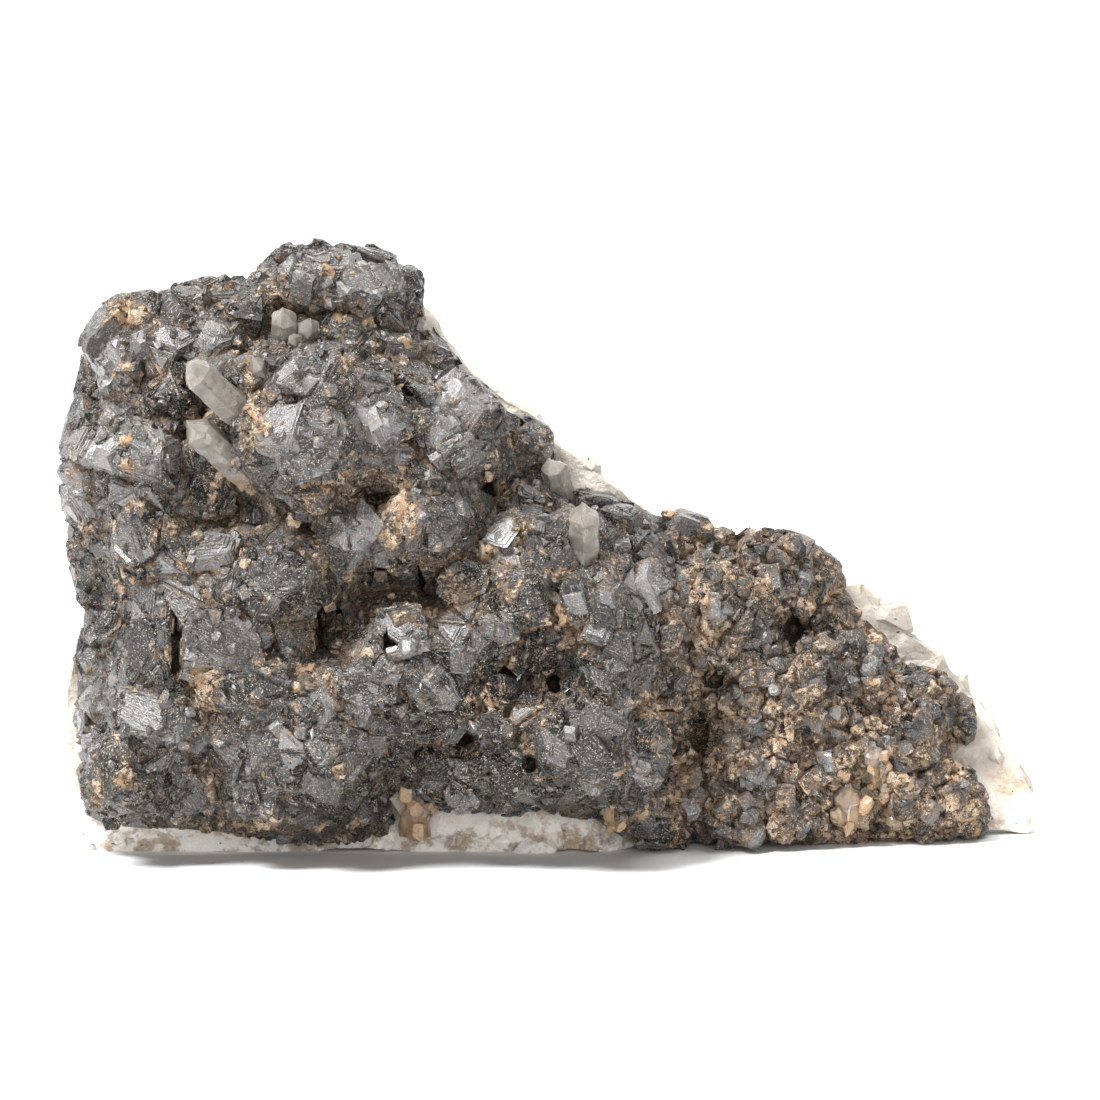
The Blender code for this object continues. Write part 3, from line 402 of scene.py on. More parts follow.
def random_turns(count, degrees, rng):
    """Small random rotation matrices."""
    axes = rng.normal(size=(count, 3))
    axes /= np.linalg.norm(axes, axis=1)[:, None]
    angles = np.radians(degrees) * rng.normal(size=count) * 0.6
    turns = np.empty((count, 3, 3))
    for index in range(count):
        turns[index] = Matrix.Rotation(angles[index], 3, Vector(axes[index]))
    return turns


def in_pit(across, up, wider=0.0):
    """Which places are seen in a pit, or less than this many millimetres from it."""
    inside = np.zeros(len(across), dtype=bool)
    for pit_across, pit_up, half_width, half_height in PITS:
        reach = ((across - pit_across) / (half_width + wider)) ** 2
        reach += ((up - pit_up) / (half_height + wider)) ** 2
        inside |= reach < 1.0
    return inside


def spots_at(spots, power, across, up):
    """Each spot's strength at places seen: full at its middle, and gone outside its rim."""
    strengths = []
    for at_across, at_up, half_width, half_height, strength in spots:
        reach = ((across - at_across) / half_width) ** 2 + ((up - at_up) / half_height) ** 2
        strengths.append(strength * np.exp(-(reach**power)))
    return strengths


def form_planes(rng):
    """Face directions and distances of an irregular crystal about a unit wide."""
    cube, dodecahedron, tetrahedron = FORM_STYLES[rng.integers(len(FORM_STYLES))]
    signs = (-1, 1)
    normals, distances = [], []
    for axis in range(3):
        for sign in signs:
            normal = [0, 0, 0]
            normal[axis] = sign
            normals.append(normal)
            distances.append(rng.uniform(cube, cube + 0.2))
            for other in signs:
                if rng.random() < MISSING_FACES:
                    continue
                diagonal = [sign, sign, sign]
                diagonal[axis] = 0
                diagonal[(axis + 1) % 3] = other
                normals.append(diagonal)
                distances.append(rng.uniform(dodecahedron, dodecahedron + 0.2))
    favoured = rng.choice([-1, 1])
    for corner in itertools.product(signs, repeat=3):
        if rng.random() < MISSING_FACES:
            continue
        normals.append(corner)
        near = tetrahedron if math.prod(corner) == favoured else tetrahedron + 0.16
        distances.append(rng.uniform(near, near + 0.2))
    normals = np.array(normals, dtype=float) + rng.normal(0, 0.05, (len(normals), 3))
    return normals / np.linalg.norm(normals, axis=1)[:, None], np.array(distances)


def form_polygons(normals, distances):
    """Corners of the form inside all the planes, and each face's corners in order around it."""
    triples = np.array(list(itertools.combinations(range(len(normals)), 3)))
    matrices = normals[triples]
    solvable = np.abs(np.linalg.det(matrices)) > 0.001
    sides = distances[triples[solvable]][..., None]
    points = np.linalg.solve(matrices[solvable], sides)[..., 0]
    points = points[(points @ normals.T <= distances + 1e-7).all(axis=1)]
    points = np.unique(np.round(points, 6), axis=0)
    polygons = []
    for normal, distance in zip(normals, distances):
        on_face = np.flatnonzero(np.abs(points @ normal - distance) < 2e-5)
        if len(on_face) < 3:
            continue
        flat = frames_about(normal[None], np.zeros(1))[0]
        local = (points[on_face] - points[on_face].mean(axis=0)) @ flat[:, :2]
        order = np.argsort(np.arctan2(local[:, 1], local[:, 0]))
        polygons.append((on_face[order], normal))
    return points, polygons


def crystal_variant(rng, steps, longest=0.0):
    """One crystal about a unit wide, with growth steps on its larger faces, worn if it has a longest edge."""
    corners, polygons = form_polygons(*form_planes(rng))
    points = corners.tolist()
    faces = []
    for polygon, normal in polygons:
        ring = list(polygon)
        outline = corners[polygon]
        span = np.linalg.norm(outline - outline.mean(axis=0), axis=1).mean()
        for _ in range(steps if span > 0.22 else 0):
            shares = rng.dirichlet(np.full(len(ring), 0.7))
            middle = 0.2 * outline.mean(axis=0) + 0.8 * shares @ outline
            inner = middle + rng.uniform(0.5, 0.85) * (outline - middle)
            raised = middle + 0.965 * (inner - middle) + normal * rng.uniform(0.012, 0.04)
            for edge in (inner, raised):
                first = len(points)
                points += edge.tolist()
                after = list(range(first, first + len(ring)))
                for side in range(len(ring)):
                    other = (side + 1) % len(ring)
                    faces.append((ring[side], ring[other], after[other]))
                    faces.append((ring[side], after[other], after[side]))
                ring = after
            outline = raised
        faces += [(ring[0], ring[side], ring[side + 1]) for side in range(1, len(ring) - 1)]
    points, faces = np.array(points), np.array(faces)
    if longest:
        points, faces, normals, _ = refined(points, faces, longest)
        worn = 0.022 * noise_at(points, 0.3, rng.uniform(0, 50)) + 0.012 * noise_at(points, 0.12, 3)
        points = points + normals * worn[:, None]
    return points, faces


def flake_variant(rng):
    """A thin bent sliver a unit long."""
    outline = np.array([(-0.5, 0.0), (-0.1, -0.17), (0.5, -0.04), (0.2, 0.18), (-0.3, 0.15)])
    outline = outline + rng.uniform(-0.06, 0.06, outline.shape)
    bend = rng.uniform(-0.5, 0.5) * outline[:, 0] ** 2
    thick = 0.035
    points = np.concatenate([np.column_stack([outline, bend + side]) for side in (-thick, thick)])
    count = len(outline)
    faces = []
    for side in range(count):
        after = (side + 1) % count
        faces += [(side, after, after + count), (side, after + count, side + count)]
    for side in range(1, count - 1):
        faces.append((0, side + 1, side))
        faces.append((count, count + side, count + side + 1))
    return points, np.array(faces)


def plate_rings(outline, normal, low, high):
    """A thin plate with its upper edge bevelled, as points and faces."""
    middle = outline.mean(axis=0)
    narrow = middle + 0.96 * (outline - middle)
    rings = [outline + normal * low, outline + normal * (high - 0.04), narrow + normal * high]
    count = len(outline)
    faces = []
    for ring in range(2):
        for side in range(count):
            after = (side + 1) % count
            a, b = ring * count + side, ring * count + after
            faces += [(a, b, b + count), (a, b + count, a + count)]
    for side in range(1, count - 1):
        faces.append((0, side + 1, side))
        faces.append((2 * count, 2 * count + side, 2 * count + side + 1))
    return np.concatenate(rings), np.array(faces)


def outward(points, faces):
    """Faces turned so that they look out of the closed form."""
    middle = points.mean(axis=0)
    normals, areas = face_frames(points, faces)
    centres = points[faces].mean(axis=1) - middle
    if (normals * centres).sum(axis=1) @ areas < 0:
        return faces[:, ::-1]
    return faces


def joined_copies(variants, chosen, places, frames, sizes, facts):
    """Copies of the variants as one set of points and faces, with each copy's facts on its points."""
    all_points, all_faces, facts_out = [], [], {name: [] for name in facts}
    offset = 0
    for number, (shape, faces) in enumerate(variants):
        here = np.flatnonzero(chosen == number)
        if not len(here):
            continue
        local = shape[None] * sizes[here][:, None, :]
        moved = np.einsum("nij,nkj->nki", frames[here], local) + places[here][:, None, :]
        count = shape.shape[0]
        all_points.append(moved.reshape(-1, 3))
        steps = offset + count * np.arange(len(here))
        all_faces.append((outward(shape, faces)[None] + steps[:, None, None]).reshape(-1, 3))
        offset += count * len(here)
        for name, values in facts.items():
            facts_out[name].append(np.repeat(values[here], count, axis=0))
    joined = {name: np.concatenate(parts) for name, parts in facts_out.items()}
    return np.concatenate(all_points), np.concatenate(all_faces), joined


def mesh_piece(name, points, faces, facts, material):
    """A mesh object in metres with its facts as attributes, which rides on the specimen."""
    mesh = bpy.data.meshes.new(name)
    mesh.vertices.add(len(points))
    mesh.vertices.foreach_set("co", (points * MM).astype(np.float32).ravel())
    mesh.loops.add(len(faces) * 3)
    mesh.loops.foreach_set("vertex_index", faces.astype(np.int32).ravel())
    mesh.polygons.add(len(faces))
    mesh.polygons.foreach_set("loop_start", np.arange(0, len(faces) * 3, 3, dtype=np.int32))
    mesh.update(calc_edges=True)
    mesh.polygons.foreach_set("use_smooth", np.zeros(len(faces), dtype=bool))
    for fact, values in facts.items():
        kind = "FLOAT_VECTOR" if values.ndim == 2 else "FLOAT"
        attribute = mesh.attributes.new(fact, kind, "POINT")
        key = "vector" if values.ndim == 2 else "value"
        attribute.data.foreach_set(key, values.astype(np.float32).ravel())
    mesh.validate()
    made = bpy.data.objects.new(name, mesh)
    bpy.context.scene.collection.objects.link(made)
    mesh.materials.append(material)
    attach(made, BODY)
    return made


def edit_mesh(points, faces):
    """An editable mesh, and its layer that numbers the triangles."""
    bm = bmesh.new()
    origin = bm.faces.layers.int.new("origin")
    verts = [bm.verts.new(point) for point in points]
    for index, face in enumerate(faces.tolist()):
        try:
            made = bm.faces.new([verts[corner] for corner in face])
        except ValueError:
            continue
        made[origin] = index
    return bm, origin


def split_edges(bm, longest, rounds):
    """Halves the edges that are longer than this, again and again."""
    for _ in range(rounds):
        long_edges = [edge for edge in bm.edges if edge.calc_length() > longest]
        if not long_edges:
            break
        bmesh.ops.subdivide_edges(bm, edges=long_edges, cuts=1)
        bmesh.ops.triangulate(bm, faces=[face for face in bm.faces if len(face.verts) > 3])


def edited_arrays(bm):
    """The points, faces and point normals of an edited mesh."""
    bm.normal_update()
    bm.verts.index_update()
    points = np.array([vert.co[:] for vert in bm.verts])
    normals = np.array([vert.normal[:] for vert in bm.verts])
    faces = np.array([[vert.index for vert in face.verts] for face in bm.faces])
    return points, faces, normals


def refined(points, faces, longest):
    """The same surface with no edge longer than this, and the triangle that each new one came from."""
    bm, origin = edit_mesh(points, faces)
    split_edges(bm, longest, 7)
    arrays = edited_arrays(bm)
    came_from = np.array([face[origin] for face in bm.faces])
    bm.free()
    return *arrays, came_from


def noise_at(points, size, seed):
    """Smooth noise between -1 and 1, with features about this many millimetres wide."""
    shift = np.array([seed * 17.3, seed * 5.1, seed * 9.7])
    places = points / size + shift
    return np.array([noise.noise(place) for place in places.tolist()])


class Shader:
    """A short way to write a node material."""

    def __init__(self, name):
        self.material = bpy.data.materials.new(name)
        self.material.use_nodes = True
        self.nodes = self.material.node_tree.nodes
        self.links = self.material.node_tree.links
        self.surface = self.nodes["Principled BSDF"]

    def feed(self, node, socket, value):
        """Links a value that is another node's output, or sets it."""
        if isinstance(value, bpy.types.NodeSocket):
            self.links.new(value, node.inputs[socket])
        else:
            node.inputs[socket].default_value = value

    def set(self, socket, value):
        self.feed(self.surface, socket, value)

    def add(self, kind, inputs, output=0, **settings):
        made = self.nodes.new(kind)
        for setting, value in settings.items():
            setattr(made, setting, value)
        for socket, value in inputs.items():
            self.feed(made, socket, value)
        return made.outputs[output]

    def attribute(self, name, output="Fac"):
        return self.add("ShaderNodeAttribute", {}, output, attribute_name=name)

    def place(self):
        return self.add("ShaderNodeTexCoord", {}, "Object")

    def noise(self, size_mm, detail=2.0, roughness=0.5):
        inputs = {"Vector": self.place(), "Scale": 1.0 / (size_mm * MM)}
        inputs |= {"Detail": detail, "Roughness": roughness}
        return self.add("ShaderNodeTexNoise", inputs, "Fac")

    def cell_value(self, size_mm):
        """A random value from 0 to 1 for each angular cell about this wide."""
        inputs = {"Vector": self.place(), "Scale": 1.0 / (size_mm * MM)}
        cells = self.add("ShaderNodeTexVoronoi", inputs, "Color")
        return self.add("ShaderNodeSeparateColor", {"Color": cells}, "Red")

    def sum(self, first, *weighted):
        """The first value, plus each other one's difference from its middle times its weight."""
        total = first
        for value, weight, middle in weighted:
            share = self.math("MULTIPLY", self.math("SUBTRACT", value, middle), weight)
            total = self.math("ADD", total, share)
        return total

    def between(self, value, low, high, out_low=0.0, out_high=1.0):
        inputs = {"Value": value, "From Min": low, "From Max": high, "To Min": out_low, "To Max": out_high}
        return self.add("ShaderNodeMapRange", inputs, "Result", interpolation_type="SMOOTHSTEP")

    def math(self, operation, first, second=0.0):
        return self.add("ShaderNodeMath", {0: first, 1: second}, operation=operation)

    def mix(self, share, first, second):
        return self.add("ShaderNodeMix", {0: share, 6: first, 7: second}, 2, data_type="RGBA")

    def bump(self, height, depth_mm, strength):
        inputs = {"Height": height, "Distance": depth_mm * MM, "Strength": strength}
        return self.add("ShaderNodeBump", inputs, "Normal")


def color(red, green, blue):
    return (red, green, blue, 1.0)


def sphalerite_material():
    """Dark, glossy and striped along its growth, with brown film, ochre flakes and pale dust, and painted
    highlights, sheen and shade carried in its tone.
    """
    shader = Shader("sphalerite_fine")
    tone_and_painted_light = shader.attribute("tone_and_painted_light")
    stain = shader.attribute("stain")
    wide = shader.noise(2.6, 2.0, 0.6)
    fine = shader.noise(0.5, 4.0, 0.72)
    finest = shader.noise(0.15, 1.0, 0.6)
    patch = shader.noise(1.4, 1.0, 0.5)
    cell = shader.cell_value(0.6)

    stripe_place = {0: shader.attribute("stripe", "Vector"), 1: shader.place()}
    along = shader.add("ShaderNodeVectorMath", stripe_place, "Value", operation="DOT_PRODUCT")
    wobble = shader.math("MULTIPLY", wide, 0.0003)
    stripes = shader.math("SINE", shader.math("MULTIPLY", shader.math("ADD", along, wobble), 21000.0))
    hairs = shader.math("MULTIPLY", shader.between(stripes, 0.6, 0.95), shader.between(fine, 0.5, 0.6))

    # Tone runs from near black to pale bluish grey: partly random differences between faces, partly painted
    # highlight, sheen and shade
    bare = shader.mix(tone_and_painted_light, color(0.010, 0.009, 0.008), color(0.37, 0.365, 0.37))
    bare = shader.mix(shader.between(fine, 0.48, 0.64, 0.0, 0.25), bare, color(0.085, 0.07, 0.056))
    bare = shader.mix(shader.between(finest, 0.58, 0.7, 0.0, 0.32), bare, color(0.26, 0.225, 0.19))
    bare = shader.mix(shader.math("MULTIPLY", hairs, 0.65), bare, color(0.46, 0.42, 0.36))

    crevice = shader.between(shader.attribute("hollow"), -0.2, 0.2)
    film_at = shader.sum(stain, (crevice, 0.6, 0.0), (wide, 1.5, 0.5), (fine, 0.7, 0.5))
    film = shader.between(film_at, 0.17, 0.57, 0.0, 0.92)
    dark_brown, pale_brown = color(0.028, 0.018, 0.012), color(0.19, 0.125, 0.075)
    brown = shader.mix(shader.between(fine, 0.38, 0.62), dark_brown, pale_brown)
    covered = shader.mix(film, bare, brown)

    flake_at = shader.sum(stain, (crevice, 0.1, 0.0), (cell, 0.45, 0.5))
    flake_at = shader.sum(flake_at, (fine, 1.25, 0.5), (wide, 1.8, 0.5))
    flaked = shader.between(flake_at, 0.51, 0.69)
    ochre = shader.mix(shader.between(finest, 0.35, 0.65), color(0.26, 0.18, 0.115), color(0.56, 0.45, 0.34))
    ochre = shader.mix(shader.between(patch, 0.46, 0.6, 0.0, 0.8), ochre, color(0.30, 0.175, 0.09))
    tinted = shader.mix(flaked, covered, ochre)

    speck = shader.between(shader.noise(0.14, 1.0, 0.4), 0.63, 0.71)
    dust = shader.math("MULTIPLY", speck, shader.between(wide, 0.35, 0.6, 0.25, 1.0))
    shader.set("Base Color", shader.mix(dust, tinted, color(0.60, 0.54, 0.45)))
    matte = shader.math("MAXIMUM", shader.math("MAXIMUM", film, flaked), dust)
    satin = shader.between(fine, 0.35, 0.65, 0.16, 0.42)
    shader.set("Roughness", shader.between(matte, 0.0, 1.0, satin, 0.95))
    shader.set("Metallic", shader.between(matte, 0.0, 0.5, 0.5, 0.0))
    shader.set("IOR", 1.5)
    height = shader.math("MULTIPLY", stripes, 0.006)
    height = shader.sum(height, (fine, 0.13, 0.5), (finest, 0.045, 0.5))
    height = shader.sum(height, (flaked, 0.05, 0.0), (dust, 0.03, 0.0))
    shader.set("Normal", shader.bump(height, 1.0, 1.0))
    return shader.material


def matrix_material():
    """Rough milky quartz, cream to grey, with tan smears and small dark specks, and painted light that makes
    its shaded foot whiter.
    """
    shader = Shader("quartz_matrix_fine")
    wide = shader.noise(7.0, 4.0, 0.6)
    middling = shader.noise(2.2, 4.0, 0.65)
    fine = shader.noise(0.6, 4.0, 0.7)
    stain = shader.attribute("stain")
    cream = shader.mix(shader.between(wide, 0.38, 0.62), color(0.57, 0.53, 0.465), color(0.50, 0.455, 0.395))
    cream = shader.mix(shader.between(fine, 0.5, 0.68, 0.0, 0.55), cream, color(0.64, 0.605, 0.55))
    above = shader.add("ShaderNodeSeparateXYZ", {0: shader.place()}, "Z")
    # Painted light: the foot, up to about seven millimetres and lying in shade, is painted near white and
    # gets fewer grey patches
    painted_foot_light = shader.between(above, 0.0005, 0.007, 1.0, 0.0)
    cream = shader.mix(painted_foot_light, cream, color(0.96, 0.92, 0.87))
    grey_share = shader.between(painted_foot_light, 0.0, 1.0, 0.5, 0.8)
    grey = shader.math("MULTIPLY", shader.between(middling, 0.5, 0.6), grey_share)
    cream = shader.mix(grey, cream, color(0.40, 0.36, 0.31))

    smeared = shader.sum(stain, (middling, 2.2, 0.5), (fine, 1.2, 0.5))
    tan = shader.mix(shader.between(fine, 0.35, 0.65), color(0.36, 0.25, 0.16), color(0.66, 0.53, 0.40))
    tinted = shader.mix(shader.between(smeared, 0.3, 0.75, 0.0, 0.85), cream, tan)
    specks = shader.between(shader.noise(0.7, 1.0, 0.4), 0.73, 0.77)
    shader.set("Base Color", shader.mix(specks, tinted, color(0.12, 0.10, 0.09)))
    shader.set("Roughness", shader.between(fine, 0.3, 0.7, 0.45, 0.8))
    shader.set("Subsurface Weight", 0.2)
    shader.set("Subsurface Radius", (0.0016, 0.0013, 0.001))
    shader.set("Subsurface Scale", 1.0)
    height = shader.sum(shader.math("MULTIPLY", middling, 0.6), (fine, 0.3, 0.5))
    shader.set("Normal", shader.bump(height, 1.0, 0.9))
    return shader.material


def quartz_material():
    """Cloudy quartz: light passes through it but is scattered, and its foot is stained tan."""
    shader = Shader("cloudy_quartz_fine")
    clouds = shader.noise(1.3, 3.0, 0.6)
    pale = shader.mix(shader.between(clouds, 0.35, 0.65), color(0.39, 0.36, 0.325), color(0.27, 0.245, 0.215))
    stain = shader.attribute("stain")
    uneven = shader.math("ADD", stain, shader.math("MULTIPLY", shader.math("SUBTRACT", clouds, 0.5), 0.7))
    tinted = shader.mix(shader.between(uneven, 0.3, 0.9), pale, color(0.56, 0.37, 0.21))
    specks = shader.between(shader.noise(0.18, 1.0, 0.4), 0.68, 0.75, 0.0, 0.7)
    shader.set("Base Color", shader.mix(specks, tinted, color(0.2, 0.17, 0.14)))
    shader.set("Roughness", shader.between(clouds, 0.3, 0.7, 0.22, 0.42))
    shader.set("IOR", 1.544)
    shader.set("Transmission Weight", 0.35)
    shader.set("Subsurface Weight", 0.4)
    shader.set("Subsurface Radius", (0.0015, 0.0014, 0.0012))
    shader.set("Subsurface Scale", 1.0)
    shader.set("Normal", shader.bump(shader.noise(0.35, 3.0, 0.6), 0.04, 0.4))
    return shader.material


def floor_material():
    shader = Shader("pale_floor")
    soft = shader.noise(60.0, 2.0, 0.5)
    shader.set("Base Color", shader.mix(soft, color(0.90, 0.90, 0.90), color(0.93, 0.93, 0.93)))
    shader.set("Roughness", 0.9)
    return shader.material


class Crust:
    """The crust's solid as a surface to grow finer crystals on."""

    def __init__(self):
        self.points, self.faces = node_arrays("sphalerite_crust")
        self.normals, self.areas = face_frames(self.points, self.faces)
        self.tree = tree_of(self.points, self.faces)
        self.matrix_tree = tree_of(*node_arrays("matrix"))
        self.number, self.face_area = crystal_faces(self.points, self.faces, self.normals, self.areas)
        self.measure_openness()

    def measure_openness(self):
        rng = np.random.default_rng(7)
        places, chosen = random_on_surface(self.points, self.faces, self.areas, OPENNESS_PLACES, rng)
        around = openness_of(self.tree, places, self.normals[chosen])
        self.open_tree = kdtree.KDTree(len(places))
        for index, place in enumerate(places.tolist()):
            self.open_tree.insert(place, index)
        self.open_tree.balance()
        self.open_values = around
        soft_normals = np.zeros_like(places)
        for index, place in enumerate(places.tolist()):
            for _, other, _ in self.open_tree.find_range(place, 2.6):
                soft_normals[index] += self.normals[chosen[other]]
        length = np.linalg.norm(soft_normals, axis=1)
        self.soft_normals = soft_normals / np.maximum(length, 1e-6)[:, None]

    def openness(self, places):
        """Openness at places, and the direction that the crust faces there on the whole."""
        values = np.empty(len(places))
        facing = np.empty((len(places), 3))
        for index, place in enumerate(places.tolist()):
            near = self.open_tree.find_n(place, 3)
            values[index] = sum(self.open_values[other] for _, other, _ in near) / 3
            facing[index] = self.soft_normals[near[0][1]]
        return values, facing

    def is_hidden(self, places):
        """Whether places lie on the side that sits on the matrix."""
        return is_near(self.matrix_tree, places, CRUST_HIDDEN)


def relief(points):
    """How far the crust is raised or sunk by its lumps, more strongly in the right lobe."""
    across, _, _ = seen_at(points)
    lobe = lobe_at(across)
    return (0.4 + 1.0 * lobe) * noise_at(points, 4.6, 12) - 0.3 * lobe


def pulled_in(points):
    """The points, with those seen outside the outline moved part of the way back to it."""
    across, up, _ = seen_at(points)
    seen = np.stack([across, up], axis=-1)
    starts = np.array(OUTLINE)
    ends = np.roll(starts, -1, axis=0)
    inside = np.zeros(len(points), dtype=bool)
    for (a, b), (c, d) in zip(starts, ends):
        crossed = (b > up) != (d > up)
        inside ^= crossed & (across < a + (up - b) * (c - a) / (d - b + 1e-9))
    outer = np.flatnonzero(~inside)
    spans = ends - starts
    from_start = seen[outer][:, None] - starts
    share = np.clip((from_start * spans).sum(axis=-1) / (spans**2).sum(axis=-1), 0.0, 1.0)
    nearest = starts + share[..., None] * spans
    gap = np.linalg.norm(seen[outer][:, None] - nearest, axis=-1)
    best = np.argmin(gap, axis=1)
    rows = np.arange(len(outer))
    least = gap[rows, best]
    share = (1.0 - KEPT_OUTSIDE) * np.maximum(least - FREE_OUTSIDE, 0.0) / np.maximum(least, 1e-6)
    back = share[:, None] * (nearest[rows, best] - seen[outer])
    moved = points.copy()
    moved[outer] += back[:, :1] * RIGHT + back[:, 1:] * UP
    return moved


def crust_facts(places, openness, rng):
    """Stain, and tone with painted highlights and painted shade, of crystals at places on the crust."""
    across, up, lobe, front = front_at(places)
    low_right = smooth_step(18.0, 30.0, across) * smooth_step(-12.0, -24.0, up)
    hollow = 0.5 * (1.0 - openness) + 0.26 * lobe + 0.12 * low_right
    stain = hollow + 0.12 * noise_at(places, 3.0, 13)
    # Random tone for each crystal, plus painted highlights and painted shade from the spots, on the front
    # only
    tone_and_painted_light = 0.75 * rng.beta(0.9, 3.2, len(places)) + sum(spots_at(PAINTED_HIGHLIGHT_AND_SHADE_SPOTS, 2.0, across, up)) * front
    return stain, np.clip(tone_and_painted_light, 0.0, 1.0)


def spot_stain(points):
    """Ochre spots seen on the front, with ragged outlines, for every point."""
    across, up, _, front = front_at(points)
    shift = 0.9 * noise_at(points, 1.7, 14)
    return RAGGED * np.max(spots_at(STAINS, 1.4, across + shift, up - shift), axis=0) * front


def between_sizes(sizes, lobe):
    """Least and greatest size at places: the left block's, the right lobe's or in between."""
    return [sizes[0][end] + (sizes[1][end] - sizes[0][end]) * lobe for end in (0, 1)]


def lattice_frames(places, rng, count, degrees):
    """Turns for crystals: neighbours share a lattice, each a little off it."""
    seeds = rng.choice(len(places), min(count, len(places)), replace=False)
    tree = kdtree.KDTree(len(seeds))
    for number, seed in enumerate(seeds):
        tree.insert(places[seed], number)
    tree.balance()
    directions = rng.normal(size=(len(seeds), 3))
    directions /= np.linalg.norm(directions, axis=1)[:, None]
    base = frames_about(directions, rng.uniform(0, 2 * math.pi, len(seeds)))
    group = np.array([tree.find(place)[1] for place in places.tolist()])
    return np.einsum("nij,njk->nik", random_turns(len(places), degrees, rng), base[group])


def medium_crystals(crust):
    """Stepped crystals of one to five millimetres, grown into each other between the large faces."""
    rng = np.random.default_rng(21)
    places, chosen = random_on_surface(crust.points, crust.faces, crust.areas, CRYSTAL_PLACES, rng)
    across, up, _ = seen_at(places)
    lobe = lobe_at(across)
    on_large = crust.face_area[crust.number[chosen]] > LARGE_FACE + 12.0 * lobe
    low, high = between_sizes(MEDIUM_SIZES, lobe)
    size = low + (high - low) * rng.beta(0.9, 2.3, len(places))
    keep = ~in_pit(across, up, 0.4 * size) & ~(on_large & (rng.random(len(places)) < 0.85))
    keep[keep] &= ~crust.is_hidden(places[keep])
    index = np.flatnonzero(keep)
    index = index[largest_first(places[index], size[index], 0.7)]
    places, size, lobe = places[index], size[index], lobe[index]
    openness, facing = crust.openness(places)
    frames = lattice_frames(places, rng, 500, 12)
    rim = 1.0 - np.abs(facing @ FORWARD)
    size = np.minimum(size * (0.7 + 0.3 * openness), 5.2 - 2.4 * rim)
    sizes = size[:, None] * rng.uniform(0.82, 1.22, (len(places), 3))
    sink = size * (rng.uniform(0.2, 0.42, len(places)) - 0.14 * lobe)
    sink += 0.6 - 0.45 * lobe + 0.55 * rim - relief(places)
    sunk = places - facing * sink[:, None]
    stain, tone_and_painted_light = crust_facts(places, openness, rng)
    variants = [crystal_variant(rng, int(rng.choice([0, 0, 0, 1, 1])), CRYSTAL_EDGE) for _ in range(40)]
    coarse = len(variants)
    variants += [crystal_variant(rng, int(rng.choice([0, 0, 1, 2])), BIG_CRYSTAL_EDGE) for _ in range(24)]
    facts = {"tone_and_painted_light": tone_and_painted_light, "stain": stain, "stripe": frames[:, :, 2]}
    picked = rng.integers(0, coarse, len(places))
    picked = np.where(size > BIG_CRYSTAL, rng.integers(coarse, len(variants), len(places)), picked)
    return joined_copies(variants, picked, sunk, frames, sizes, facts)


def outer_places(surface, crust, count, rng, reach=3.5):
    """Random places on the outermost surface so far, with its normals there and the crust's facing."""
    places, chosen = random_on_surface(crust.points, crust.faces, crust.areas, count, rng)
    across, up, _ = seen_at(places)
    keep = ~in_pit(across, up, 0.35)
    keep[keep] &= ~crust.is_hidden(places[keep])
    places = places[keep]
    openness, facing = crust.openness(places)
    found, normals, heights, kept = [], [], [], []
    for index, (place, direction) in enumerate(zip(places, facing)):
        start = Vector(place + direction * reach)
        hit, normal, _, drop = surface.ray_cast(start, Vector(-direction), 2 * reach)
        if hit is not None and normal.dot(Vector(direction)) > 0.1:
            found.append(hit[:])
            normals.append(normal[:])
            heights.append(reach - drop)
            kept.append(index)
    return np.array(found), np.array(normals), np.array(heights), openness[kept]


def small_crystals(surface, crust):
    """Crystals under two millimetres, most of them in the clefts."""
    rng = np.random.default_rng(22)
    places, normals, heights, openness = outer_places(surface, crust, SMALL_PLACES, rng)
    across, _, _ = seen_at(places)
    lobe = lobe_at(across)
    cleft = smooth_step(0.25, -0.7, heights - relief(places))
    keep = rng.random(len(places)) < 0.22 + 0.78 * cleft
    places, normals, openness, lobe = places[keep], normals[keep], openness[keep], lobe[keep]
    low, high = between_sizes(SMALL_SIZES, lobe)
    size = low + (high - low) * rng.beta(0.9, 3.0, len(places))
    index = largest_first(places, size, 0.95)[:MOST_SMALL_CRYSTALS]
    places, normals, size, openness = places[index], normals[index], size[index], openness[index]
    frames = lattice_frames(places, rng, 1400, 16)
    sizes = size[:, None] * rng.uniform(0.75, 1.3, (len(places), 3))
    sunk = places - normals * (size * rng.uniform(0.1, 0.42, len(places)))[:, None]
    stain, tone_and_painted_light = crust_facts(places, openness, rng)
    stain = stain + np.where(rng.random(len(places)) < 0.03, 0.5, 0.0)
    variants = [crystal_variant(rng, 0) for _ in range(30)]
    facts = {"tone_and_painted_light": tone_and_painted_light, "stain": stain, "stripe": frames[:, :, 2]}
    picked = rng.integers(0, len(variants), len(places))
    return joined_copies(variants, picked, sunk, frames, sizes, facts)


def flakes(surface, crust):
    """Thin slivers that stand off the faces and catch the light."""
    rng = np.random.default_rng(25)
    places, normals, _, openness = outer_places(surface, crust, FLAKE_PLACES, rng)
    frames = frames_about(normals, rng.uniform(0, 2 * math.pi, len(places)))
    frames = np.einsum("nij,njk->nik", random_turns(len(places), 26, rng), frames)
    size = 0.3 + 1.1 * rng.beta(1.2, 3.0, len(places))
    sizes = size[:, None] * rng.uniform(0.6, 1.2, (len(places), 3))
    stain, tone_and_painted_light = crust_facts(places, openness, rng)
    pale = rng.random(len(places))
    tone_and_painted_light = np.clip(tone_and_painted_light + 0.9 * pale**2, 0, 1)
    stain = stain + np.where(rng.random(len(places)) < 0.4, 0.35, -0.1)
    variants = [flake_variant(rng) for _ in range(16)]
    facts = {"tone_and_painted_light": tone_and_painted_light, "stain": stain, "stripe": frames[:, :, 2]}
    picked = rng.integers(0, len(variants), len(places))
    return joined_copies(variants, picked, places + 0.03 * normals, frames, sizes, facts)


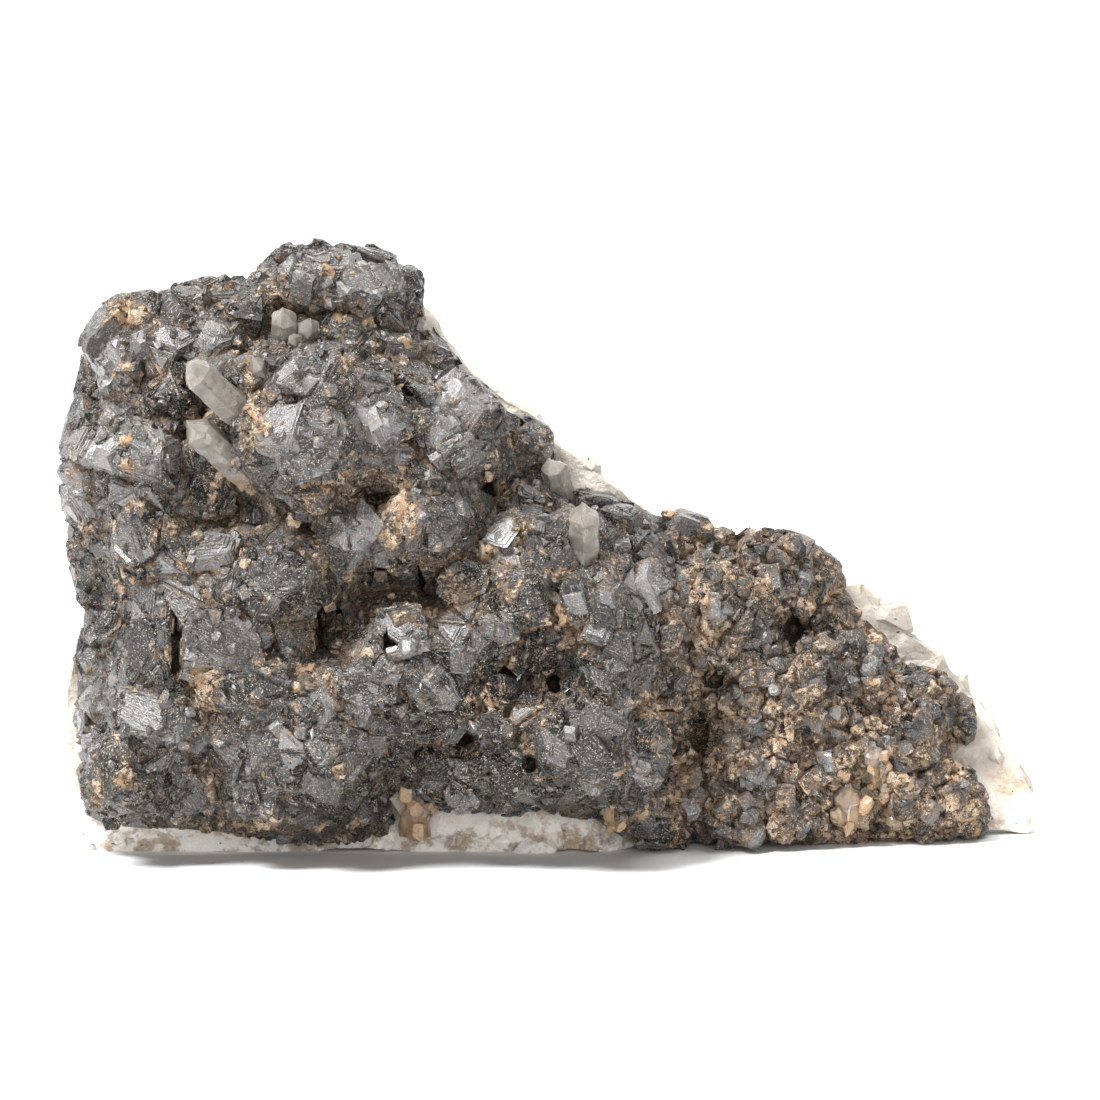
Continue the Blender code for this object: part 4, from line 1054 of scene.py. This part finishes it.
def face_plates(crust):
    """Growth plates stacked on the large faces, each with an outline like its face's."""
    rng = np.random.default_rng(23)
    all_points, all_faces, tone_and_painted_light_parts, stains, stripes = [], [], [], [], []
    offset = 0
    for number in np.flatnonzero(crust.face_area > LARGE_FACE):
        here = np.flatnonzero(crust.number == number)
        if crust.points[crust.faces[here[0], 0], 0] > LOBE_FULL:
            continue
        normal = crust.normals[here[np.argmax(crust.areas[here])]]
        corners = crust.points[crust.faces[here]]
        if crust.is_hidden(corners.mean(axis=1)).any():
            continue
        edges = (corners[:, [1, 2, 0]] - corners).reshape(-1, 3)
        along = edges[np.argmax(np.linalg.norm(edges, axis=1))]
        along = along / np.linalg.norm(along)
        flat = np.stack([along, np.cross(normal, along)], axis=-1)
        all_corners = corners.reshape(-1, 3)
        middle = (corners.mean(axis=1) * crust.areas[here][:, None]).sum(axis=0) / crust.areas[here].sum()
        local = (all_corners - middle) @ flat
        hull = [local[index] for index in convex_hull_2d(local.tolist())]
        outline = middle + np.array(hull) @ flat.T
        openness, _ = crust.openness(middle[None])
        stain, tone_and_painted_light = crust_facts(middle[None], openness, rng)
        level = 0.0
        for _ in range(int(rng.integers(2, 4))):
            shares = rng.dirichlet(np.full(len(outline), 0.8))
            centre = 0.5 * outline.mean(axis=0) + 0.5 * shares @ outline
            outline = centre + rng.uniform(0.62, 0.9) * (outline - centre)
            level += rng.uniform(0.06, 0.22)
            points, faces = plate_rings(outline, normal, -0.4, level)
            all_points.append(points)
            all_faces.append(outward(points, faces) + offset)
            offset += len(points)
            tone_and_painted_light_parts.append(np.full(len(points), np.clip(tone_and_painted_light[0] + rng.uniform(-0.04, 0.1), 0, 1)))
            stains.append(np.full(len(points), stain[0] - 0.1))
            stripes.append(np.tile(flat[:, 1], (len(points), 1)))
    facts = {"tone_and_painted_light": np.concatenate(tone_and_painted_light_parts), "stain": np.concatenate(stains)}
    facts["stripe"] = np.concatenate(stripes)
    return np.concatenate(all_points), np.concatenate(all_faces), facts


def crust_skin(crust):
    """The crust's own surface: rough and sunk between the crystals, and flat on the large faces, with its
    pits painted black and its sunk parts painted darker as shade.
    """
    points, faces, normals, came_from = refined(crust.points, crust.faces, SKIN_EDGE)
    openness, facing = crust.openness(points)
    rng = np.random.default_rng(24)
    stain, tone_and_painted_light = crust_facts(points, openness, rng)
    large = np.zeros(len(points), dtype=bool)
    large[faces[crust.face_area[crust.number[came_from]] > LARGE_FACE].ravel()] = True
    across, up, _ = seen_at(points)
    large &= across < LOBE_START
    rough = relief(points) - 0.9 + 0.3 * noise_at(points, 0.8, 1) + 0.35 * noise_at(points, 1.9, 2)
    rough = np.where(large, 0.05 * noise_at(points, 0.9, 3), rough)
    painted_shade_pit = in_pit(across, up, 0.25)
    still = painted_shade_pit | (points[:, 2] < 1.0) | crust.is_hidden(points)
    moved = points + normals * np.where(still, 0.0, rough)[:, None]
    stripe = np.tile(UP, (len(points), 1))
    # Painted shade: the pits get the darkest tone and no stain, and the sunk skin between the crystals gets a
    # darker tone than the large faces
    stain = np.where(painted_shade_pit, -0.7, stain + np.where(large, -0.1, 0.12))
    tone_and_painted_light = np.where(painted_shade_pit, 0.0, np.where(large, tone_and_painted_light, 0.4 * tone_and_painted_light))
    return moved, faces, {"tone_and_painted_light": tone_and_painted_light, "stain": stain, "stripe": stripe}


def split_pieces(name, points, faces, facts, material):
    """Pieces under the limit of triangles."""
    parts = math.ceil(len(faces) / MOST_TRIANGLES)
    made = []
    for part, chunk in enumerate(np.array_split(np.arange(len(faces)), parts)):
        used, index = np.unique(faces[chunk], return_inverse=True)
        label = name if parts == 1 else f"{name}_{part + 1}"
        chosen = {fact: values[used] for fact, values in facts.items()}
        made.append(mesh_piece(label, points[used], index.reshape(-1, 3), chosen, material))
    return made


def matrix_stain(points):
    """Ochre on the matrix: spots at its two ends and smears along its lower rim."""
    across, up, _ = seen_at(points)
    band = np.exp(-(((across - 46.0) / 3.0) ** 2 + ((up + 24.0) / 5.0) ** 2))
    band += 0.8 * np.exp(-(((across - 30.5) / 2.0) ** 2 + ((up + 5.5) / 1.6) ** 2))
    band += 0.5 * np.exp(-(((across + 48.0) / 3.5) ** 2 + ((up + 18.0) / 13.0) ** 2))
    rim = 0.4 * smooth_step(-22.0, -28.0, up) + 0.12 * noise_at(points, 7.0, 9)
    return np.maximum(0.8 * band, rim) + 0.2 * noise_at(points, 5.0, 10)


def raised_foot(points):
    """Points that aren't below the matrix's uneven underside, which rests on its lowest places."""
    flat = points.copy()
    flat[:, 2] = 0.0
    underside = np.clip(1.3 * noise_at(flat, 8.0, 15) + 0.3 * noise_at(flat, 2.5, 16) + 0.1, 0.0, 1.3)
    raised = points.copy()
    raised[:, 2] = np.maximum(points[:, 2], underside)
    return raised


def is_smooth_end(points):
    """1 at the smooth right end of the matrix's front, and 0 where it is broken."""
    return smooth_step(8.0, 14.0, points[:, 0]) * smooth_step(14.0, 10.0, points @ FORWARD)


def matrix_rock(crust, material):
    """The matrix's broken surface, and the faces of the quartz grains that stand out of it."""
    source, triangles = node_arrays("matrix")
    points, faces, normals, _ = refined(source, triangles, ROCK_EDGE)
    broken = 1.0 - 0.75 * is_smooth_end(points)
    rough = 0.4 * noise_at(points, 2.2, 6) + 0.2 * noise_at(points, 0.9, 7)
    rough -= 0.6 * np.abs(noise_at(points, 3.4, 8))
    raised = 0.75 * noise_at(points, 6.0, 5) + broken * rough + 0.25
    raised *= smooth_step(0.2, 2.2, points[:, 2])
    foot = 1.0 - smooth_step(0.0, 2.6, points[:, 2])
    middle = 0.5 * (source.min(axis=0) + source.max(axis=0))
    outwards = (points - middle) / (0.5 * np.ptp(source, axis=0)) * [1.0, 1.0, 0.0]
    points = raised_foot(points + normals * raised[:, None] - FOOT_DRAWN_IN * outwards * foot[:, None])
    rock = mesh_piece("matrix_rock", points, faces, {"stain": matrix_stain(points)}, material)
    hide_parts("matrix")

    rng = np.random.default_rng(31)
    normals, areas = face_frames(source, triangles)
    places, chosen = random_on_surface(source, triangles, areas, GRAIN_PLACES, rng)
    covered = is_near(crust.tree, places, MATRIX_HIDDEN)
    keep = ~covered & (is_smooth_end(places) < 0.5) & (normals[chosen][:, 2] > -0.8) & (places[:, 2] > 0.6)
    places, normals = places[keep], normals[chosen][keep]
    size = 1.0 + 2.6 * rng.beta(1.0, 2.8, len(places))
    index = largest_first(places, size, 0.66)
    places, normals, size = places[index], normals[index], size[index]
    frames = lattice_frames(places, rng, len(places), 30)
    sizes = size[:, None] * rng.uniform(0.7, 1.3, (len(places), 3))
    sunk = places - normals * (size * rng.uniform(0.44, 0.52, len(places)))[:, None]
    variants = [crystal_variant(rng, 0, GRAIN_EDGE) for _ in range(24)]
    picked = rng.integers(0, len(variants), len(places))
    points, faces, facts = joined_copies(variants, picked, sunk, frames, sizes, {})
    points = raised_foot(points)
    facts = {"stain": matrix_stain(points)}
    for piece in split_pieces("matrix_grains", points, faces, facts, material):
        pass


def quartz_lumps(node, source, triangles):
    """Small crystals grown into the lower part of a larger one, which point the way that it faces."""
    rng = np.random.default_rng(len(node))
    normals, areas = face_frames(source, triangles)
    places, chosen = random_on_surface(source, triangles, areas, 60, rng)
    height = places @ UP
    share = (height - height.min()) / (height.max() - height.min())
    in_front = normals[chosen] @ FORWARD < 0.3
    index = np.flatnonzero(in_front & (share < LUMPED_SHARE[node]))[:6]
    places, facing = places[index], normals[chosen[index]]
    leaning = UP + 0.7 * facing + rng.normal(0, 0.25, facing.shape)
    leaning /= np.linalg.norm(leaning, axis=1)[:, None]
    frames = frames_about(leaning, rng.uniform(0, 2 * math.pi, len(places)))
    width = np.ptp(source, axis=0).min() * rng.uniform(0.24, 0.46, len(places))
    sizes = width[:, None] * np.array([1.0, 0.9, 1.25])
    if node == FLAMED_QUARTZ:
        middle = source.mean(axis=0)
        tip = middle - 1.5 * RIGHT + 2.4 * UP - 1.7 * FORWARD
        flame = np.array([[-0.42, -0.15, 1.0]]) / 1.1
        places = np.concatenate([places, tip[None]])
        frames = np.concatenate([frames, frames_about(flame / np.linalg.norm(flame), np.zeros(1))])
        sizes = np.concatenate([sizes, [[1.0, 0.8, 3.2]]])
    variants = [crystal_variant(rng, 0, GRAIN_EDGE) for _ in range(6)]
    picked = rng.integers(0, len(variants), len(places))
    facts = {"stain": rng.uniform(0.3, 1.1, len(places))}
    return joined_copies(variants, picked, places, frames, sizes, facts)


def quartz_crystal(node, material):
    """A quartz crystal with its edges worn round, stained in patches or towards its foot."""
    points, faces = node_arrays(node)
    bm, _ = edit_mesh(points, faces)
    bmesh.ops.dissolve_limit(bm, angle_limit=math.radians(2.0), verts=bm.verts, edges=bm.edges)
    rounding = {"offset": QUARTZ_ROUNDING, "segments": 2, "profile": 0.5, "clamp_overlap": True}
    bmesh.ops.bevel(bm, geom=bm.edges[:], affect="EDGES", **rounding)
    bmesh.ops.triangulate(bm, faces=bm.faces)
    split_edges(bm, QUARTZ_EDGE, 4)
    fine, triangles, normals = edited_arrays(bm)
    bm.free()
    worn = 0.22 * noise_at(fine, 1.6, 11) + 0.1 * noise_at(fine, 0.6, 12) - 0.04
    height = fine @ UP
    stain = 0.6 - 1.2 * smooth_step(height.min(), height.max(), height)
    if node in LUMPED_SHARE:
        worn = 1.6 * worn - 0.25
        stain = 0.4 * stain + 0.6
    fine = fine + normals * worn[:, None]
    stain = stain + 0.4 * noise_at(fine, 1.1, 17)
    if node in LUMPED_SHARE:
        lumps, lump_faces, lump_facts = quartz_lumps(node, points, faces)
        stain = np.concatenate([stain, lump_facts["stain"]])
        triangles = np.concatenate([triangles, lump_faces + len(fine)])
        fine = np.concatenate([fine, lumps])
    made = mesh_piece(f"{node}_fine", fine, triangles, {"stain": stain}, material)
    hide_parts(node)


def build_crust(crust, material):
    layers = {"crust_skin": crust_skin(crust), "crust_crystals": medium_crystals(crust)}
    layers["crust_plates"] = face_plates(crust)
    offset = 0
    all_points, all_faces = [], []
    for points, faces, _ in layers.values():
        all_points.append(points)
        all_faces.append(faces + offset)
        offset += len(points)
    surface = tree_of(np.concatenate(all_points), np.concatenate(all_faces))
    layers["crust_small_crystals"] = small_crystals(surface, crust)
    layers["crust_flakes"] = flakes(surface, crust)
    every_point = np.concatenate([layer[0] for layer in layers.values()])
    every_normal = np.concatenate([point_normals(layer[0], layer[1]) for layer in layers.values()])
    hollow = hollow_at(every_point, every_normal)
    first = 0
    for name, (points, faces, facts) in layers.items():
        facts["hollow"] = hollow[first : first + len(points)]
        first += len(points)
        facts["stain"] = np.maximum(facts["stain"], spot_stain(points))
        points = pulled_in(points)
        points[:, 2] = np.maximum(points[:, 2], 0.05)
        for piece in split_pieces(name, points, faces, facts, material):
            if name == "crust_skin":
                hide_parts("sphalerite_crust")


def build_object():
    crust = Crust()
    build_crust(crust, sphalerite_material())
    matrix_rock(crust, matrix_material())
    cloudy = quartz_material()
    for node in sorted(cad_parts):
        if node.startswith("quartz_"):
            quartz_crystal(node, cloudy)


def build_floor():
    """A pale floor that sweeps up behind the specimen."""
    profile = [(FLOOR_FRONT, 0.0), (FLOOR_BACK, 0.0)]
    for step in range(1, SWEEP_STEPS + 1):
        angle = math.radians(90 * step / SWEEP_STEPS)
        rise = SWEEP_RADIUS * (1 - math.cos(angle))
        profile.append((FLOOR_BACK + SWEEP_RADIUS * math.sin(angle), rise))
    profile.append((FLOOR_BACK + SWEEP_RADIUS, WALL_TOP))
    verts = [(side * FLOOR_HALF_WIDTH, y, z) for y, z in profile for side in (-1, 1)]
    faces = [(2 * i, 2 * i + 1, 2 * i + 3, 2 * i + 2) for i in range(len(profile) - 1)]
    mesh = bpy.data.meshes.new("floor")
    mesh.from_pydata(verts, [], faces)
    mesh.shade_smooth()
    mesh.materials.append(floor_material())
    floor = bpy.data.objects.new("floor", mesh)
    bpy.context.scene.collection.objects.link(floor)


def area_light(name, place, size, power):
    light = bpy.data.lights.new(name, "AREA")
    light.shape = "DISK"
    light.size = size
    light.energy = power
    made = bpy.data.objects.new(name, light)
    made.location = place
    aim = Vector(AIM) - Vector(place)
    made.rotation_euler = aim.to_track_quat("-Z", "Y").to_euler()
    bpy.context.scene.collection.objects.link(made)


def build_light():
    for light in LIGHTS:
        area_light(*light)
    world = bpy.context.scene.world or bpy.data.worlds.new("studio")
    bpy.context.scene.world = world
    world.use_nodes = True
    background = world.node_tree.nodes["Background"]
    background.inputs["Color"].default_value = (1.0, 1.0, 1.0, 1.0)
    background.inputs["Strength"].default_value = ROOM_LIGHT


def build_camera():
    camera = bpy.data.cameras.new("camera")
    camera.lens = LENS
    camera.sensor_width = SENSOR
    camera.clip_start = 0.01
    made = bpy.data.objects.new("camera", camera)
    turn = Matrix((RIGHT, UP, -FORWARD)).transposed().to_4x4()
    place = (VIEW_MIDDLE - FORWARD * VIEW_DISTANCE) * MM
    made.matrix_world = Matrix.Translation(place) @ turn
    bpy.context.scene.collection.objects.link(made)
    bpy.context.scene.camera = made


build_camera()
build_object()
build_floor()
build_light()
bpy.context.scene.view_settings.view_transform = "Standard"
